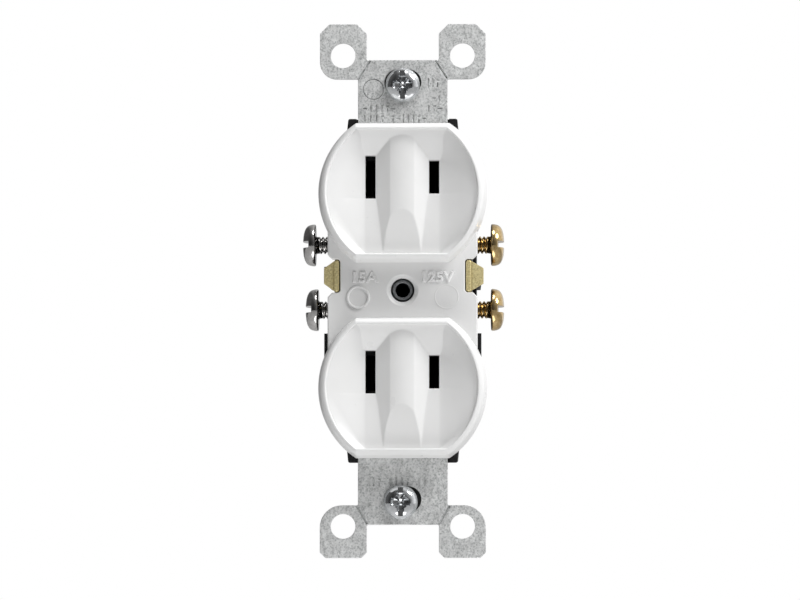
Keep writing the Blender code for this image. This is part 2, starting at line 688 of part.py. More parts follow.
def make_assembly_screw(place, side):
    seat = ASSEMBLY_SEAT + GAP
    z = side * ASSEMBLY_Z
    head = (ASSEMBLY_HEAD_RADIUS, ASSEMBLY_HEAD_HEIGHT)
    profile = screw_profile(*head, ASSEMBLY_RADIUS, seat - ASSEMBLY_TIP)
    screw = turned(f"assembly_screw_{place}", profile, "+Y", (0, seat, z), steps=16)
    top = seat + ASSEMBLY_HEAD_HEIGHT
    low = (-3 * MM, top - 0.8 * MM, z - 0.4 * MM)
    high = (3 * MM, top + MM, z + 0.4 * MM)
    cut(screw, box(f"assembly_slot_{place}", low, high))
    finish(screw, zinc)


def make_centre_bushing():
    """A flanged sleeve through the strap, with its flange behind; heights run forward from Y = 0."""
    flange_front = -GAP
    flange_back = -GAP - FLANGE_THICKNESS
    profile = [
        (BUSHING_BORE, -BUSHING_FRONT),
        (BUSHING_RADIUS, -BUSHING_FRONT),
        (BUSHING_RADIUS, flange_front),
        (BUSHING_FLANGE, flange_front),
        (BUSHING_FLANGE, flange_back),
        (BUSHING_RADIUS, flange_back),
        (BUSHING_RADIUS, -BUSHING_BACK),
        (BUSHING_BORE, -BUSHING_BACK),
    ]
    finish(turned("centre_bushing", profile, "-Y", (0, 0, 0), closed=True), dark_steel)


def make_wire_clamp(name, hand, side):
    """A bent spring leaf that leans on the strip and hinges at its inner, rear end."""
    hinge_x, hinge_y = CLAMP_HINGE
    z = clamp_z(side)
    loop = [(hand * x, y) for x, y in ribbon(CLAMP_LINE, CLAMP_THICKNESS)]
    clamp = sheet(name, "Z", loop, z - CLAMP_HALF_WIDTH, z + CLAMP_HALF_WIDTH)
    clamp.location.x = hand * hinge_x
    clamp.location.y = hinge_y
    finish(clamp, bronze)


def smooth_round_pieces():
    """Smooth shading everywhere, kept sharp where faces meet at more than 35 degrees."""
    for obj in parts.objects:
        obj.data.shade_smooth()
        obj.data.set_sharp_from_angle(angle=math.radians(35))


for old in list(bpy.data.objects):
    bpy.data.objects.remove(old)
parts = new_collection("duplex_receptacle")
cutters = new_collection("cutters")

white_plastic = new_material("white_plastic", (0.86, 0.86, 0.85), 0.3)
black_plastic = new_material("black_plastic", (0.02, 0.02, 0.02), 0.45)
galvanised = new_material("galvanised_steel", (0.6, 0.61, 0.61), 0.45, 1.0)
zinc = new_material("zinc_plate", (0.78, 0.78, 0.77), 0.2, 1.0)
nickel = new_material("nickel_plate", (0.62, 0.62, 0.6), 0.2, 1.0)
brass = new_material("brass", (0.72, 0.56, 0.3), 0.3, 1.0)
bronze = new_material("spring_bronze", (0.66, 0.44, 0.26), 0.3, 1.0)
dark_steel = new_material("dark_steel", (0.3, 0.31, 0.31), 0.4, 1.0)
fibre = new_material("black_fibre", (0.03, 0.03, 0.03), 0.8)

make_mounting_strap()
make_face_cover()
make_back_body()
make_centre_bushing()
for pole, pole_hand, screw_metal in (("neutral", -1, nickel), ("hot", 1, brass)):
    make_contact(f"{pole}_contact", pole_hand, brass)
    for level, level_side in (("upper", 1), ("lower", -1)):
        make_terminal_screw(f"{pole}_screw_{level}", pole_hand, level_side, screw_metal)
        make_wire_clamp(f"wire_clamp_{pole}_{level}", pole_hand, level_side)
for end, end_side in (("top", 1), ("bottom", -1)):
    make_mounting_screw(end, end_side)
    make_assembly_screw(end, end_side)
smooth_round_pieces()
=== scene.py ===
"""The look of the two-slot duplex wall receptacle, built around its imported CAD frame.

Shapes are worked out in millimetres and turned into metres by publish(). X runs to the right, Z up,
and the plug faces look along -Y. A side of 1 is the top half and -1 the bottom half; a hand of 1 is
the right (hot) side and -1 the left (neutral) side.
"""

import json
from math import acos, atan2, ceil, copysign, cos, degrees, hypot
from math import radians, remainder, sin, sqrt, tan, tau

import bmesh
import bpy
from mathutils import Matrix, Vector

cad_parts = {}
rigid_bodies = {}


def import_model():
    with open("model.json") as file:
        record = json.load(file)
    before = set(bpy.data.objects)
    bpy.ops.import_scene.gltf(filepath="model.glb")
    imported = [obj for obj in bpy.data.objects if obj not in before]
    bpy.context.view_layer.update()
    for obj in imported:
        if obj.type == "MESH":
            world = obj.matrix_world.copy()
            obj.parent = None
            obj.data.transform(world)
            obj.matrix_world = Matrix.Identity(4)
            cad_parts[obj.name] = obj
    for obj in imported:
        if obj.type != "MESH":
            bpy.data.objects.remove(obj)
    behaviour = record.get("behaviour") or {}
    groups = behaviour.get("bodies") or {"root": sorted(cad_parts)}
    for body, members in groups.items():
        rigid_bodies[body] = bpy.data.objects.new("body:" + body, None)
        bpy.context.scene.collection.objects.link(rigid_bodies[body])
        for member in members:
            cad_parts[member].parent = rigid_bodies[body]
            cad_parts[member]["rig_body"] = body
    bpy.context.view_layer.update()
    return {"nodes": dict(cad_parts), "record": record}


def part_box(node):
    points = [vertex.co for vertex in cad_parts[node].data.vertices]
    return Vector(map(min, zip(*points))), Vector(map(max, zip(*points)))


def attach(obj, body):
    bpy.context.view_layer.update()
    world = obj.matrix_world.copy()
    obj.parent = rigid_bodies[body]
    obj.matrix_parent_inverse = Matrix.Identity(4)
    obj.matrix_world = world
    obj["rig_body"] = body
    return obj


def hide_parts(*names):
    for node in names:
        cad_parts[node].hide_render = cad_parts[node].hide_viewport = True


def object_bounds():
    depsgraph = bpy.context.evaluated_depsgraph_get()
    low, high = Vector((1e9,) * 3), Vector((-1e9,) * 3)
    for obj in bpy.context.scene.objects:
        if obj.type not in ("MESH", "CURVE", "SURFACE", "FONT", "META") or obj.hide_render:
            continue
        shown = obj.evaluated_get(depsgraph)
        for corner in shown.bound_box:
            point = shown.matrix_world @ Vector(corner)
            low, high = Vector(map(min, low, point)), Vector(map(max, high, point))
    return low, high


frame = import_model()

MM = 0.001
OVERSHOOT = 1.0  # how far a cutter runs past the face it cuts


def extent(node):
    """A CAD node's lowest and highest corners in millimetres."""
    low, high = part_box(node)
    return low / MM, high / MM


def middle(node):
    low, high = extent(node)
    return (low + high) / 2


def reach_of(node, hand):
    """A node's nearest and furthest distances from the middle plane, on its own side."""
    low, high = extent(node)
    return (low.x, high.x) if hand > 0 else (-high.x, -low.x)


# ---- Measures taken from the frame, in millimetres ----

STRAP_LOW, STRAP_HIGH = extent("mounting_strap")
COVER_LOW, COVER_HIGH = extent("face_cover")
BODY_LOW, BODY_HIGH = extent("back_body")
MOUNT_POINTS = {m["name"]: Vector(m["pos_m"]) / MM for m in frame["record"]["mounts"]}
LEVELS = {1: "upper", -1: "lower"}
FACE_Z = {side: MOUNT_POINTS[f"{level}_plug_seat"].z for side, level in LEVELS.items()}
FACE_FRONT = COVER_LOW.y
COVER_BACK = COVER_HIGH.y
PLATE_FRONT = MOUNT_POINTS["wall_plate_seat"].y
EAR_Z = MOUNT_POINTS["plaster_ear_top_right"].z
FACE_RADIUS = COVER_HIGH.x
FACE_HALF_HEIGHT = COVER_HIGH.z - FACE_Z[1]
ASSEMBLY_Z = middle("assembly_screw_top").z
TERMINAL_Z = {side: MOUNT_POINTS[f"hot_terminal_{level}"].z for side, level in LEVELS.items()}
TERMINAL_CENTRE = (TERMINAL_Z[1] + TERMINAL_Z[-1]) / 2
TERMINAL_Y = middle("hot_screw_upper").y


# ---- Mesh helpers ----


def place_in_scene(name, data):
    obj = bpy.data.objects.new(name, data)
    bpy.context.scene.collection.objects.link(obj)
    return obj


def solid(bm, name="solid"):
    """An object from a mesh under construction, its faces turned outwards."""
    mesh = bpy.data.meshes.new(name)
    bmesh.ops.recalc_face_normals(bm, faces=bm.faces)
    bm.to_mesh(mesh)
    bm.free()
    return place_in_scene(name, mesh)


def finished_mesh(obj):
    depsgraph = bpy.context.evaluated_depsgraph_get()
    return bpy.data.meshes.new_from_object(obj.evaluated_get(depsgraph))


def bake_modifiers(obj):
    old, mesh = obj.data, finished_mesh(obj)
    obj.modifiers.clear()
    obj.data = mesh
    bpy.data.meshes.remove(old)


def discard(obj):
    mesh = obj.data
    bpy.data.objects.remove(obj)
    bpy.data.meshes.remove(mesh)


def join(objects):
    """One object from several, whose shells stay separate."""
    bm = bmesh.new()
    for obj in objects:
        bm.from_mesh(obj.data)
        discard(obj)
    mesh = bpy.data.meshes.new("joined")
    bm.to_mesh(mesh)
    bm.free()
    return place_in_scene("joined", mesh)


def combine(target, tool, operation):
    boolean = target.modifiers.new("combine", "BOOLEAN")
    boolean.operation = operation
    boolean.solver = "EXACT"
    boolean.object = tool
    bake_modifiers(target)
    discard(tool)


def cut(target, *tools):
    """Cuts tools that don't touch each other out of the target in one go."""
    combine(target, join(tools), "DIFFERENCE")


def round_edges(obj, width, angle=32, segments=2):
    bevel = obj.modifiers.new("round_edges", "BEVEL")
    bevel.width = width
    bevel.segments = segments
    bevel.limit_method = "ANGLE"
    bevel.angle_limit = radians(angle)
    bevel.use_clamp_overlap = True
    bake_modifiers(obj)


def spread(axis, u, v, w):
    """A point from its place across an axis (u, v) and along it (w)."""
    return {"X": (w, u, v), "Y": (u, w, v), "Z": (u, v, w)}[axis]


def bridge(bm, near, far):
    """A band of faces between two loops of as many vertices."""
    for index in range(len(near)):
        following = (index + 1) % len(near)
        bm.faces.new((near[index], near[following], far[following], far[index]))


def prism(outline, axis, low, high):
    bm = bmesh.new()
    near = [bm.verts.new(spread(axis, u, v, low)) for u, v in outline]
    far = [bm.verts.new(spread(axis, u, v, high)) for u, v in outline]
    bm.faces.new(near)
    bm.faces.new(far)
    bridge(bm, near, far)
    return solid(bm)


def around(centre, half):
    return (centre - half, centre + half)


def block(hand, xs, ys, zs):
    """A block given by its distances from the middle plane, its depths and its heights."""
    low, high = sorted((hand * xs[0], hand * xs[1]))
    corners = [(low, ys[0]), (high, ys[0]), (high, ys[1]), (low, ys[1])]
    return prism(corners, "Z", *sorted(zs))


def mirrored(points):
    """One side of an outline, followed by the other side back to its start."""
    return points + [(-x, *rest) for x, *rest in reversed(points)]


def arc(centre, radius, start, end, steps):
    points = []
    for step in range(steps + 1):
        angle = radians(start + (end - start) * step / steps)
        points.append((centre[0] + radius * cos(angle), centre[1] + radius * sin(angle)))
    return points


def circle(centre, radius, steps=48):
    return arc(centre, radius, 0, 360, steps)[:-1]


def round_corners(outline, radii, steps=6):
    """A polygon with its corners rounded, each by its own radius."""
    rounded = []
    for index, radius in enumerate(radii):
        corner = Vector(outline[index])
        if radius <= 0:
            rounded.append(tuple(corner))
            continue
        before = (Vector(outline[index - 1]) - corner).normalized()
        after = (Vector(outline[(index + 1) % len(outline)]) - corner).normalized()
        half = before.angle(after) / 2
        centre = corner + (before + after).normalized() * (radius / sin(half))
        ends = []
        for way in (before, after):
            offset = corner + way * (radius / tan(half)) - centre
            ends.append(atan2(offset.y, offset.x))
        first = degrees(ends[0])
        turn = degrees(remainder(ends[1] - ends[0], tau))
        rounded += arc(centre, radius, first, first + turn, steps)
    return rounded


DIRECTION = {"+X": ("X", 1), "-X": ("X", -1), "+Y": ("Y", 1), "-Y": ("Y", -1)}


def skin(rings, closed=False):
    """A solid skinned over rings of points, with caps on its first and last ring unless closed."""
    bm = bmesh.new()
    loops = [[bm.verts.new(point) for point in ring] for ring in rings]
    for lower, upper in zip(loops, loops[1:]):
        bridge(bm, lower, upper)
    if closed:
        bridge(bm, loops[-1], loops[0])
    else:
        bm.faces.new(loops[0])
        bm.faces.new(loops[-1])
    return solid(bm)


def ring_points(direction, origin, height, steps, reach):
    """Points round an axis, as far from it as reach(angle, height) says."""
    axis, sign = DIRECTION[direction]
    points = []
    for step in range(steps):
        angle = tau * step / steps
        radius = reach(angle, height)
        offset = spread(axis, radius * cos(angle), radius * sin(angle), sign * height)
        points.append(Vector(origin) + Vector(offset))
    return points


def lathe(profile, direction, origin, steps=48, closed=False):
    """A body of revolution through (radius, height) points, heights along the direction."""
    rings = []
    for radius, height in profile:
        rings.append(ring_points(direction, origin, height, steps, lambda *_, r=radius: r))
    return skin(rings, closed)


def thread(size, start, end, direction, origin, steps=36, per_turn=8):
    """A screw thread of (major radius, minor radius, pitch), tapered away at its far end."""
    major, minor, pitch = size

    def reach(angle, height):
        phase = (height / pitch - angle / tau) % 1.0
        ridge = 1.0 - abs(2.0 * phase - 1.0)
        crest = min(1.0, max(0.0, 1.5 * ridge - 0.15))
        fade = min(1.0, abs(height - end) / pitch)
        return minor * (0.86 + 0.14 * fade) + (major - minor) * crest * fade

    count = max(2, round(abs(end - start) / pitch * per_turn))
    heights = [start + (end - start) * row / count for row in range(count + 1)]
    return skin([ring_points(direction, origin, height, steps, reach) for height in heights])


# ---- Shader nodes ----


def add_node(tree, kind, output, settings=None, **inputs):
    """A node's output, its inputs set to values or linked to the sockets given for them."""
    node = tree.nodes.new(f"ShaderNode{kind}")
    for name, value in (settings or {}).items():
        setattr(node, name, value)
    for name, value in inputs.items():
        socket = node.inputs[name.replace("_", " ")]
        if isinstance(value, bpy.types.NodeSocket):
            tree.links.new(value, socket)
        elif socket.type == "RGBA":
            socket.default_value = (*value, 1.0)
        else:
            socket.default_value = value
    return node.outputs[output]


def map_range(tree, value, low, high, at_low, at_high):
    """A value from low..high turned to at_low..at_high."""
    ends = {"From_Min": low, "From_Max": high, "To_Min": at_low, "To_Max": at_high}
    return add_node(tree, "MapRange", "Result", Value=value, **ends)


class Shading:
    """A material and its procedural nodes, on coordinates in millimetres."""

    def __init__(self, name, roughness, metallic=0.0, specular=0.5):
        self.material = bpy.data.materials.new(name)
        self.material.use_nodes = True
        self.tree = self.material.node_tree
        self.shader = self.tree.nodes["Principled BSDF"]
        self.shader.inputs["Roughness"].default_value = roughness
        self.shader.inputs["Metallic"].default_value = metallic
        self.shader.inputs["Specular IOR Level"].default_value = specular
        self.place = self.add("TexCoord", "Object")
        self.place = self.stretch((1 / MM, 1 / MM, 1 / MM))
        self.relief = None

    def add(self, kind, output, settings=None, **inputs):
        return add_node(self.tree, kind, output, settings, **inputs)

    def stretch(self, factors):
        return self.add("Mapping", "Vector", Vector=self.place, Scale=factors)

    def noise(self, size, detail=3.0, roughness=0.55, distortion=0.0, place=None):
        """Noise whose features are about size millimetres wide."""
        values = {"Scale": 1.0 / size, "Detail": detail, "Roughness": roughness}
        values.update(Distortion=distortion, Vector=place or self.place)
        return self.add("TexNoise", "Fac", **values)

    def cells(self, size, output="Distance", place=None):
        return self.add("TexVoronoi", output, Vector=place or self.place, Scale=1.0 / size)

    def ramp(self, source, *stops):
        """Colours or greys along a value, stops being (place, colour) pairs."""
        node = self.tree.nodes.new("ShaderNodeValToRGB")
        elements = node.color_ramp.elements
        while len(elements) < len(stops):
            elements.new(0.5)
        for element, (position, colour) in zip(elements, stops):
            element.position = position
            if isinstance(colour, float):
                colour = (colour, colour, colour)
            element.color = (*colour, 1.0)
        self.tree.links.new(source, node.inputs["Fac"])
        return node.outputs["Color"]

    def mix(self, factor, first, second, mode="MIX"):
        settings = {"data_type": "RGBA", "blend_type": mode}
        return self.add("Mix", "Result", settings, Factor=factor, A=first, B=second)

    def grade(self, noise, low, high):
        """The middle half of a noise's values turned to low..high."""
        return map_range(self.tree, noise, 0.25, 0.75, low, high)

    def colour(self, source):
        self.tree.links.new(source, self.shader.inputs["Base Color"])

    def roughness(self, source):
        self.tree.links.new(source, self.shader.inputs["Roughness"])

    def bump(self, source, height, strength=1.0):
        """Adds relief of about height millimetres, on top of any relief added before."""
        values = {"Height": source, "Strength": strength, "Distance": height * MM}
        if self.relief:
            values["Normal"] = self.relief
        self.relief = self.add("Bump", "Normal", **values)
        self.tree.links.new(self.relief, self.shader.inputs["Normal"])


# ---- Materials ----

PAINTED_SHADE_START = 0.4  # depths behind the strap's back over which painted shade darkens the brass
PAINTED_SHADE_END = 2.0


def make_white_plastic():
    look = Shading("white_thermoplastic", 0.3, specular=0.45)
    cloud = look.noise(9.0, 4.0)
    tint = look.ramp(cloud, (0.25, (0.80, 0.80, 0.795)), (0.75, (0.84, 0.84, 0.838)))
    speck = look.ramp(look.cells(0.55), (0.0, 0.10), (0.12, 0.0))
    look.colour(look.mix(speck, tint, (0.72, 0.72, 0.71)))
    look.roughness(look.grade(look.noise(3.0, 5.0), 0.26, 0.38))
    look.bump(look.noise(2.2, 2.0), 0.012)
    look.bump(look.noise(0.16, 2.0), 0.003)
    return look


def make_black_plastic():
    look = Shading("black_phenolic", 0.42, specular=0.16)
    flow = look.noise(1.6, 5.0, 0.6, 0.8)
    look.colour(look.ramp(flow, (0.3, (0.009, 0.009, 0.0095)), (0.7, (0.018, 0.018, 0.019))))
    look.roughness(look.grade(look.noise(0.7, 5.0), 0.42, 0.62))
    look.bump(look.noise(0.22, 3.0), 0.008)
    look.bump(flow, 0.012)
    return look


def make_galvanised():
    look = Shading("galvanised_sheet", 0.45, 0.35)
    grit = look.noise(0.36, 3.0, 0.62)
    blotch = look.noise(1.5, 4.0, 0.6, 0.6)
    spangle = look.cells(1.1, "Color", place=look.stretch((1.0, 1.0, 0.8)))
    rolled = look.noise(0.45, 3.0, 0.6, place=look.stretch((1.0, 1.0, 0.2)))
    dark, mid, light = (0.46, 0.48, 0.475), (0.82, 0.835, 0.83), (0.99, 1.0, 0.995)
    base = look.ramp(grit, (0.34, dark), (0.47, mid), (0.58, light))
    grain = look.ramp(look.add("RGBToBW", "Val", Color=spangle), (0.0, 0.76), (1.0, 1.0))
    toned = look.mix(1.0, base, grain, "MULTIPLY")
    toned = look.mix(1.0, toned, look.ramp(blotch, (0.35, 0.84), (0.65, 1.0)), "MULTIPLY")
    look.colour(look.mix(0.2, toned, look.ramp(rolled, (0.35, 0.40), (0.65, 0.90))))
    look.roughness(look.grade(look.noise(0.6, 4.0), 0.32, 0.56))
    look.bump(grit, 0.05, 0.8)
    look.bump(blotch, 0.08, 0.6)
    look.bump(rolled, 0.02, 0.6)
    return look


def make_metal(name, dark, light, gloss, relief=0.006, grain=0.6, metallic=1.0):
    """Plated or bare metal with fine mottling, handling marks and a little relief."""
    look = Shading(name, gloss[0], metallic)
    look.colour(look.ramp(look.noise(grain, 5.0, 0.6), (0.3, dark), (0.7, light)))
    scuff = look.noise(0.35, 3.0, 0.6, place=look.stretch((1.0, 0.3, 1.0)))
    look.roughness(look.grade(scuff, *gloss))
    look.bump(look.noise(0.25, 3.0), relief, 0.7)
    look.bump(look.noise(1.4, 2.0), relief * 2.0, 0.7)
    return look


def make_contact_brass():
    """Rolled brass, lined by shear at its cut edges, with painted shade that turns it near black
    deeper inside the housing.
    """
    dark, light = (0.56, 0.46, 0.21), (0.98, 0.86, 0.47)
    look = make_metal("rolled_brass", dark, light, (0.34, 0.5), 0.03, 0.32, 0.5)
    unshaded_brass = look.shader.inputs["Base Color"].links[0].from_socket
    # painted shade: the brass turns near black deeper inside the housing, where light hardly reaches
    painted_shade = (0.3, (0.010, 0.008, 0.005)), (0.7, (0.022, 0.016, 0.009))
    depth = look.add("SeparateXYZ", "Y", Vector=look.place)
    inside = map_range(look.tree, depth, PAINTED_SHADE_START, PAINTED_SHADE_END, 0.0, 1.0)
    look.colour(look.mix(inside, unshaded_brass, look.ramp(look.noise(0.9, 4.0), *painted_shade)))
    return look


def make_fibre():
    look = Shading("black_vulcanised_fibre", 0.8)
    strands = look.noise(0.3, 5.0, 0.7, place=look.stretch((1.0, 1.0, 0.25)))
    look.colour(look.ramp(strands, (0.3, (0.012, 0.012, 0.012)), (0.7, (0.035, 0.034, 0.033))))
    look.roughness(look.grade(strands, 0.66, 0.9))
    look.bump(strands, 0.03)
    return look


METALS = {  # slot: name, dark and light colours, lowest and highest roughness, relief
    "zinc_plate": ("bright_zinc", (0.62, 0.64, 0.66), (0.80, 0.81, 0.82), (0.05, 0.14), 0.004),
    "nickel_plate": ("bright_nickel", (0.42, 0.41, 0.40), (0.60, 0.59, 0.58), (0.05, 0.16)),
    "screw_brass": ("plated_brass", (0.40, 0.27, 0.11), (0.66, 0.50, 0.26), (0.08, 0.2), 0.008),
    "spring_bronze": ("spring_bronze", (0.52, 0.33, 0.18), (0.66, 0.45, 0.27), (0.24, 0.36)),
    "dark_steel": ("dark_steel", (0.26, 0.27, 0.28), (0.42, 0.43, 0.44), (0.28, 0.42)),
}
MATERIALS = {slot: make_metal(*values).material for slot, values in METALS.items()}
MATERIALS["white_plastic"] = make_white_plastic().material
MATERIALS["black_plastic"] = make_black_plastic().material
MATERIALS["galvanised_steel"] = make_galvanised().material
MATERIALS["brass"] = make_contact_brass().material
MATERIALS["black_fibre"] = make_fibre().material


def publish(obj, name, node, slot, crease=30):
    """Turns a finished shape to metres, with its material, and puts it on its CAD node's body."""
    obj.name = obj.data.name = name
    obj.data.transform(Matrix.Scale(MM, 4))
    obj.data.materials.clear()
    obj.data.materials.append(MATERIALS[slot])
    obj.data.shade_smooth()
    obj.data.set_sharp_from_angle(angle=radians(crease))
    weighted = obj.modifiers.new("weighted_normals", "WEIGHTED_NORMAL")
    weighted.keep_sharp = True
    weighted.weight = 90
    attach(obj, frame["nodes"][node]["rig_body"])
    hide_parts(node)


# ---- Face cover: the two plug faces ----

RECESS_HALF_HEIGHT = 12.35
RECESS_HALF_WIDTH = 15.05
RECESS_CORNER = 9.0  # half the width of the recess's flat top
RECESS_DEPTH = 0.72
SLOT_X = 6.35
SLOT_HALF_WIDTH = 1.03
SLOT_OUTER = SLOT_X + SLOT_HALF_WIDTH
SLOT_INNER = SLOT_X - SLOT_HALF_WIDTH
SLOT_TOP = {-1: 7.35, 1: 6.38}  # from the face's centre
SLOT_BOTTOM = {-1: -1.25, 1: -0.28}
SLOT_DEPTH = 3.2  # where the funnels meet the slots
FLOOR_DEPTH = 2.3  # at the recess's lower wall
CONE_CURVE = 1.3  # above 1, the recess's sides steepen away from the rim
CONE_FOOT = 1.3  # above 1, they ease into the floor
FLOOR_EASE = 0.75  # below 1, the floor rises fastest just under the slots
CREST_DEPTH = 1.2
CREST_HALF_WIDTH = 2.4
CREST_RADIUS = 9.0
CREST_BULGE = CREST_HALF_WIDTH**2 / (2 * CREST_RADIUS)
RAMP_TOP = -3.4
RAMP_SLOPE = 0.225
RAMP_EASE = 0.0115
MESH_STEP = 0.19
SLOT_MARGIN = 0.3  # of even mesh outside the slots
TOLERANCE = 0.001

# The rim's section, as shares of the way from the recess's wall to the outer wall, with depths.
RIM_INNER_CORNER = ((0.02, 0.32), (0.17, 0.0))
RIM_FALL = ((0.22, 0.015), (0.30, 0.06), (0.38, 0.13), (0.46, 0.23), (0.54, 0.36), (0.62, 0.54))
RIM_WALL = ((0.69, 0.80), (0.74, 1.3), (0.84, 3.2), (0.93, 4.7), (1.0, COVER_BACK - FACE_FRONT))

# The recess's sides are arcs through its widest point and its flat's corners.
_rise = RECESS_HALF_WIDTH - RECESS_CORNER
SIDE_RADIUS = (_rise**2 + RECESS_HALF_HEIGHT**2) / (2 * _rise)
SIDE_CENTRE = RECESS_HALF_WIDTH - SIDE_RADIUS


def recess_half_width(v):
    return SIDE_CENTRE + sqrt(max(0.0, SIDE_RADIUS**2 - v * v))


def floor_depth(v, hand):
    """Depth along one slot: level beside it, then rising towards the recess's lower wall."""
    below = max(0.0, SLOT_BOTTOM[hand] - v)
    share = below / (SLOT_BOTTOM[hand] + RECESS_HALF_HEIGHT)
    return SLOT_DEPTH - (SLOT_DEPTH - FLOOR_DEPTH) * share**FLOOR_EASE


def cone_depth(u, v, hand):
    """Depth of the cone from the recess's curved side down to one slot's outer edge."""
    deepest = floor_depth(v, hand)
    x = hand * u
    if x <= SLOT_OUTER:
        return deepest
    near, far = 0.0, 1.0
    for _ in range(16):  # halves the range that holds the point's place down the cone
        share = (near + far) / 2
        nearest_v = min(max(v, share * -RECESS_HALF_HEIGHT), share * SLOT_TOP[hand])
        dx = max(0.0, x - (1 - share) * SIDE_CENTRE - share * SLOT_OUTER)
        inside = hypot(dx, v - nearest_v) <= (1 - share) * SIDE_RADIUS
        near, far = (share, far) if inside else (near, share)
    eased = 1 - (1 - near**CONE_CURVE) ** CONE_FOOT
    return RECESS_DEPTH + (deepest - RECESS_DEPTH) * eased


def recess_depth(u, v):
    """Depth below the front of the rim, at a point measured from the face's centre."""
    hand = 1 if u > 0 else -1
    share = min(1.0, max(0.0, (u / SLOT_X + 1) / 2))
    slot_top = SLOT_TOP[-1] + (SLOT_TOP[1] - SLOT_TOP[-1]) * share
    fall = (SLOT_DEPTH - RECESS_DEPTH) / (RECESS_HALF_HEIGHT - slot_top)
    top = RECESS_DEPTH + fall * (RECESS_HALF_HEIGHT - v)
    x = abs(u)
    if x <= CREST_HALF_WIDTH:
        ridge = CREST_DEPTH + x * x / (2 * CREST_RADIUS)
    else:
        slope = (SLOT_DEPTH - CREST_DEPTH - CREST_BULGE) / (SLOT_INNER - CREST_HALF_WIDTH)
        ridge = CREST_DEPTH + CREST_BULGE + slope * (x - CREST_HALF_WIDTH)
    down = RAMP_TOP - v
    if down > 0:
        ridge = max(ridge, CREST_DEPTH + RAMP_SLOPE * down - RAMP_EASE * down * down)
    return min(top, ridge, cone_depth(u, v, hand))


def steps_between(stops, step):
    """Evenly spaced values that include every stop."""
    values = [stops[0]]
    for low, high in zip(stops, stops[1:]):
        count = max(1, ceil((high - low) / step))
        values += [low + (high - low) * index / count for index in range(1, count + 1)]
    return values


def quarter_ellipse(start, end, steps):
    """Points between two corners, upright at the start and level at the end."""
    points = []
    for step in range(steps + 1):
        angle = tau / 4 * step / steps
        across = start[0] + (end[0] - start[0]) * (1 - cos(angle))
        points.append((across, start[1] + (end[1] - start[1]) * sin(angle)))
    return points


def recess_grid():
    """Rows of (u, v) points over the recess, with lines along every edge of the slots."""
    core = SLOT_OUTER + SLOT_MARGIN
    lines = [SLOT_INNER, SLOT_OUTER, core]
    crest = [-CREST_HALF_WIDTH, 0.0, CREST_HALF_WIDTH]
    columns = steps_between([-u for u in reversed(lines)] + crest + lines, MESH_STEP)
    slot_ends = [SLOT_BOTTOM[-1], SLOT_BOTTOM[1], SLOT_TOP[1], SLOT_TOP[-1]]
    wing_count = ceil((RECESS_HALF_WIDTH - core) / MESH_STEP)
    grid = []
    for v in steps_between([-RECESS_HALF_HEIGHT] + slot_ends + [RECESS_HALF_HEIGHT], MESH_STEP):
        step = (recess_half_width(v) - core) / wing_count
        wing = [core + step * index for index in range(1, wing_count + 1)]
        grid.append([(u, v) for u in [-u for u in reversed(wing)] + columns + wing])
    return grid


def make_face(side):
    """One plug face as a closed shell: recess, slots, rim, outer wall and back."""

    def vertex(u, v, depth):
        return bm.verts.new((u, FACE_FRONT + depth, FACE_Z[side] + v))

    bm = bmesh.new()
    grid = recess_grid()
    verts = [[vertex(u, v, recess_depth(u, v)) for u, v in row] for row in grid]
    last_row, last_column = len(grid) - 1, len(grid[0]) - 1
    for j in range(last_row):
        for i in range(last_column):
            u = (grid[j][i][0] + grid[j][i + 1][0]) / 2
            v = (grid[j][i][1] + grid[j + 1][i][1]) / 2
            hand = 1 if u > 0 else -1
            beside = abs(u) < SLOT_INNER or abs(u) > SLOT_OUTER
            if beside or v < SLOT_BOTTOM[hand] or v > SLOT_TOP[hand]:
                bm.faces.new(verts[j][i : i + 2] + verts[j + 1][i : i + 2][::-1])

    border = [(0, i) for i in range(last_column)] + [(j, last_column) for j in range(last_row)]
    border += [(last_row - j, last_column - i) for j, i in border]
    inner = [grid[j][i] for j, i in border]
    outer = []
    stretch = FACE_HALF_HEIGHT / RECESS_HALF_HEIGHT
    outer_corner = sqrt(FACE_RADIUS**2 - FACE_HALF_HEIGHT**2)
    for (_, i), (u, v) in zip(border, inner):
        if i in (0, last_column):
            wall = copysign(sqrt(FACE_RADIUS**2 - (v * stretch) ** 2), u)
        else:
            wall = u * outer_corner / RECESS_CORNER
        outer.append((wall, v * stretch))
    loop = [verts[j][i] for j, i in border]
    for share, depth in quarter_ellipse(*RIM_INNER_CORNER, 4) + list(RIM_FALL + RIM_WALL):
        level = []
        for (u0, v0), (u1, v1) in zip(inner, outer):
            level.append(vertex(u0 + (u1 - u0) * share, v0 + (v1 - v0) * share, depth))
        bridge(bm, loop, level)
        loop = level

    edges = [edge for edge in bm.edges if edge.is_boundary]
    edges = [edge for edge in edges if edge.verts[0].co.y < COVER_BACK - TOLERANCE]
    for item in bmesh.ops.extrude_edge_only(bm, edges=edges)["geom"]:
        if isinstance(item, bmesh.types.BMVert):
            item.co.y = COVER_BACK
    edges = [edge for edge in bm.edges if edge.is_boundary]
    bmesh.ops.triangle_fill(bm, edges=edges, use_beauty=True, normal=(0, 1, 0))
    return solid(bm)


# ---- Face cover: the middle plate and its marks ----

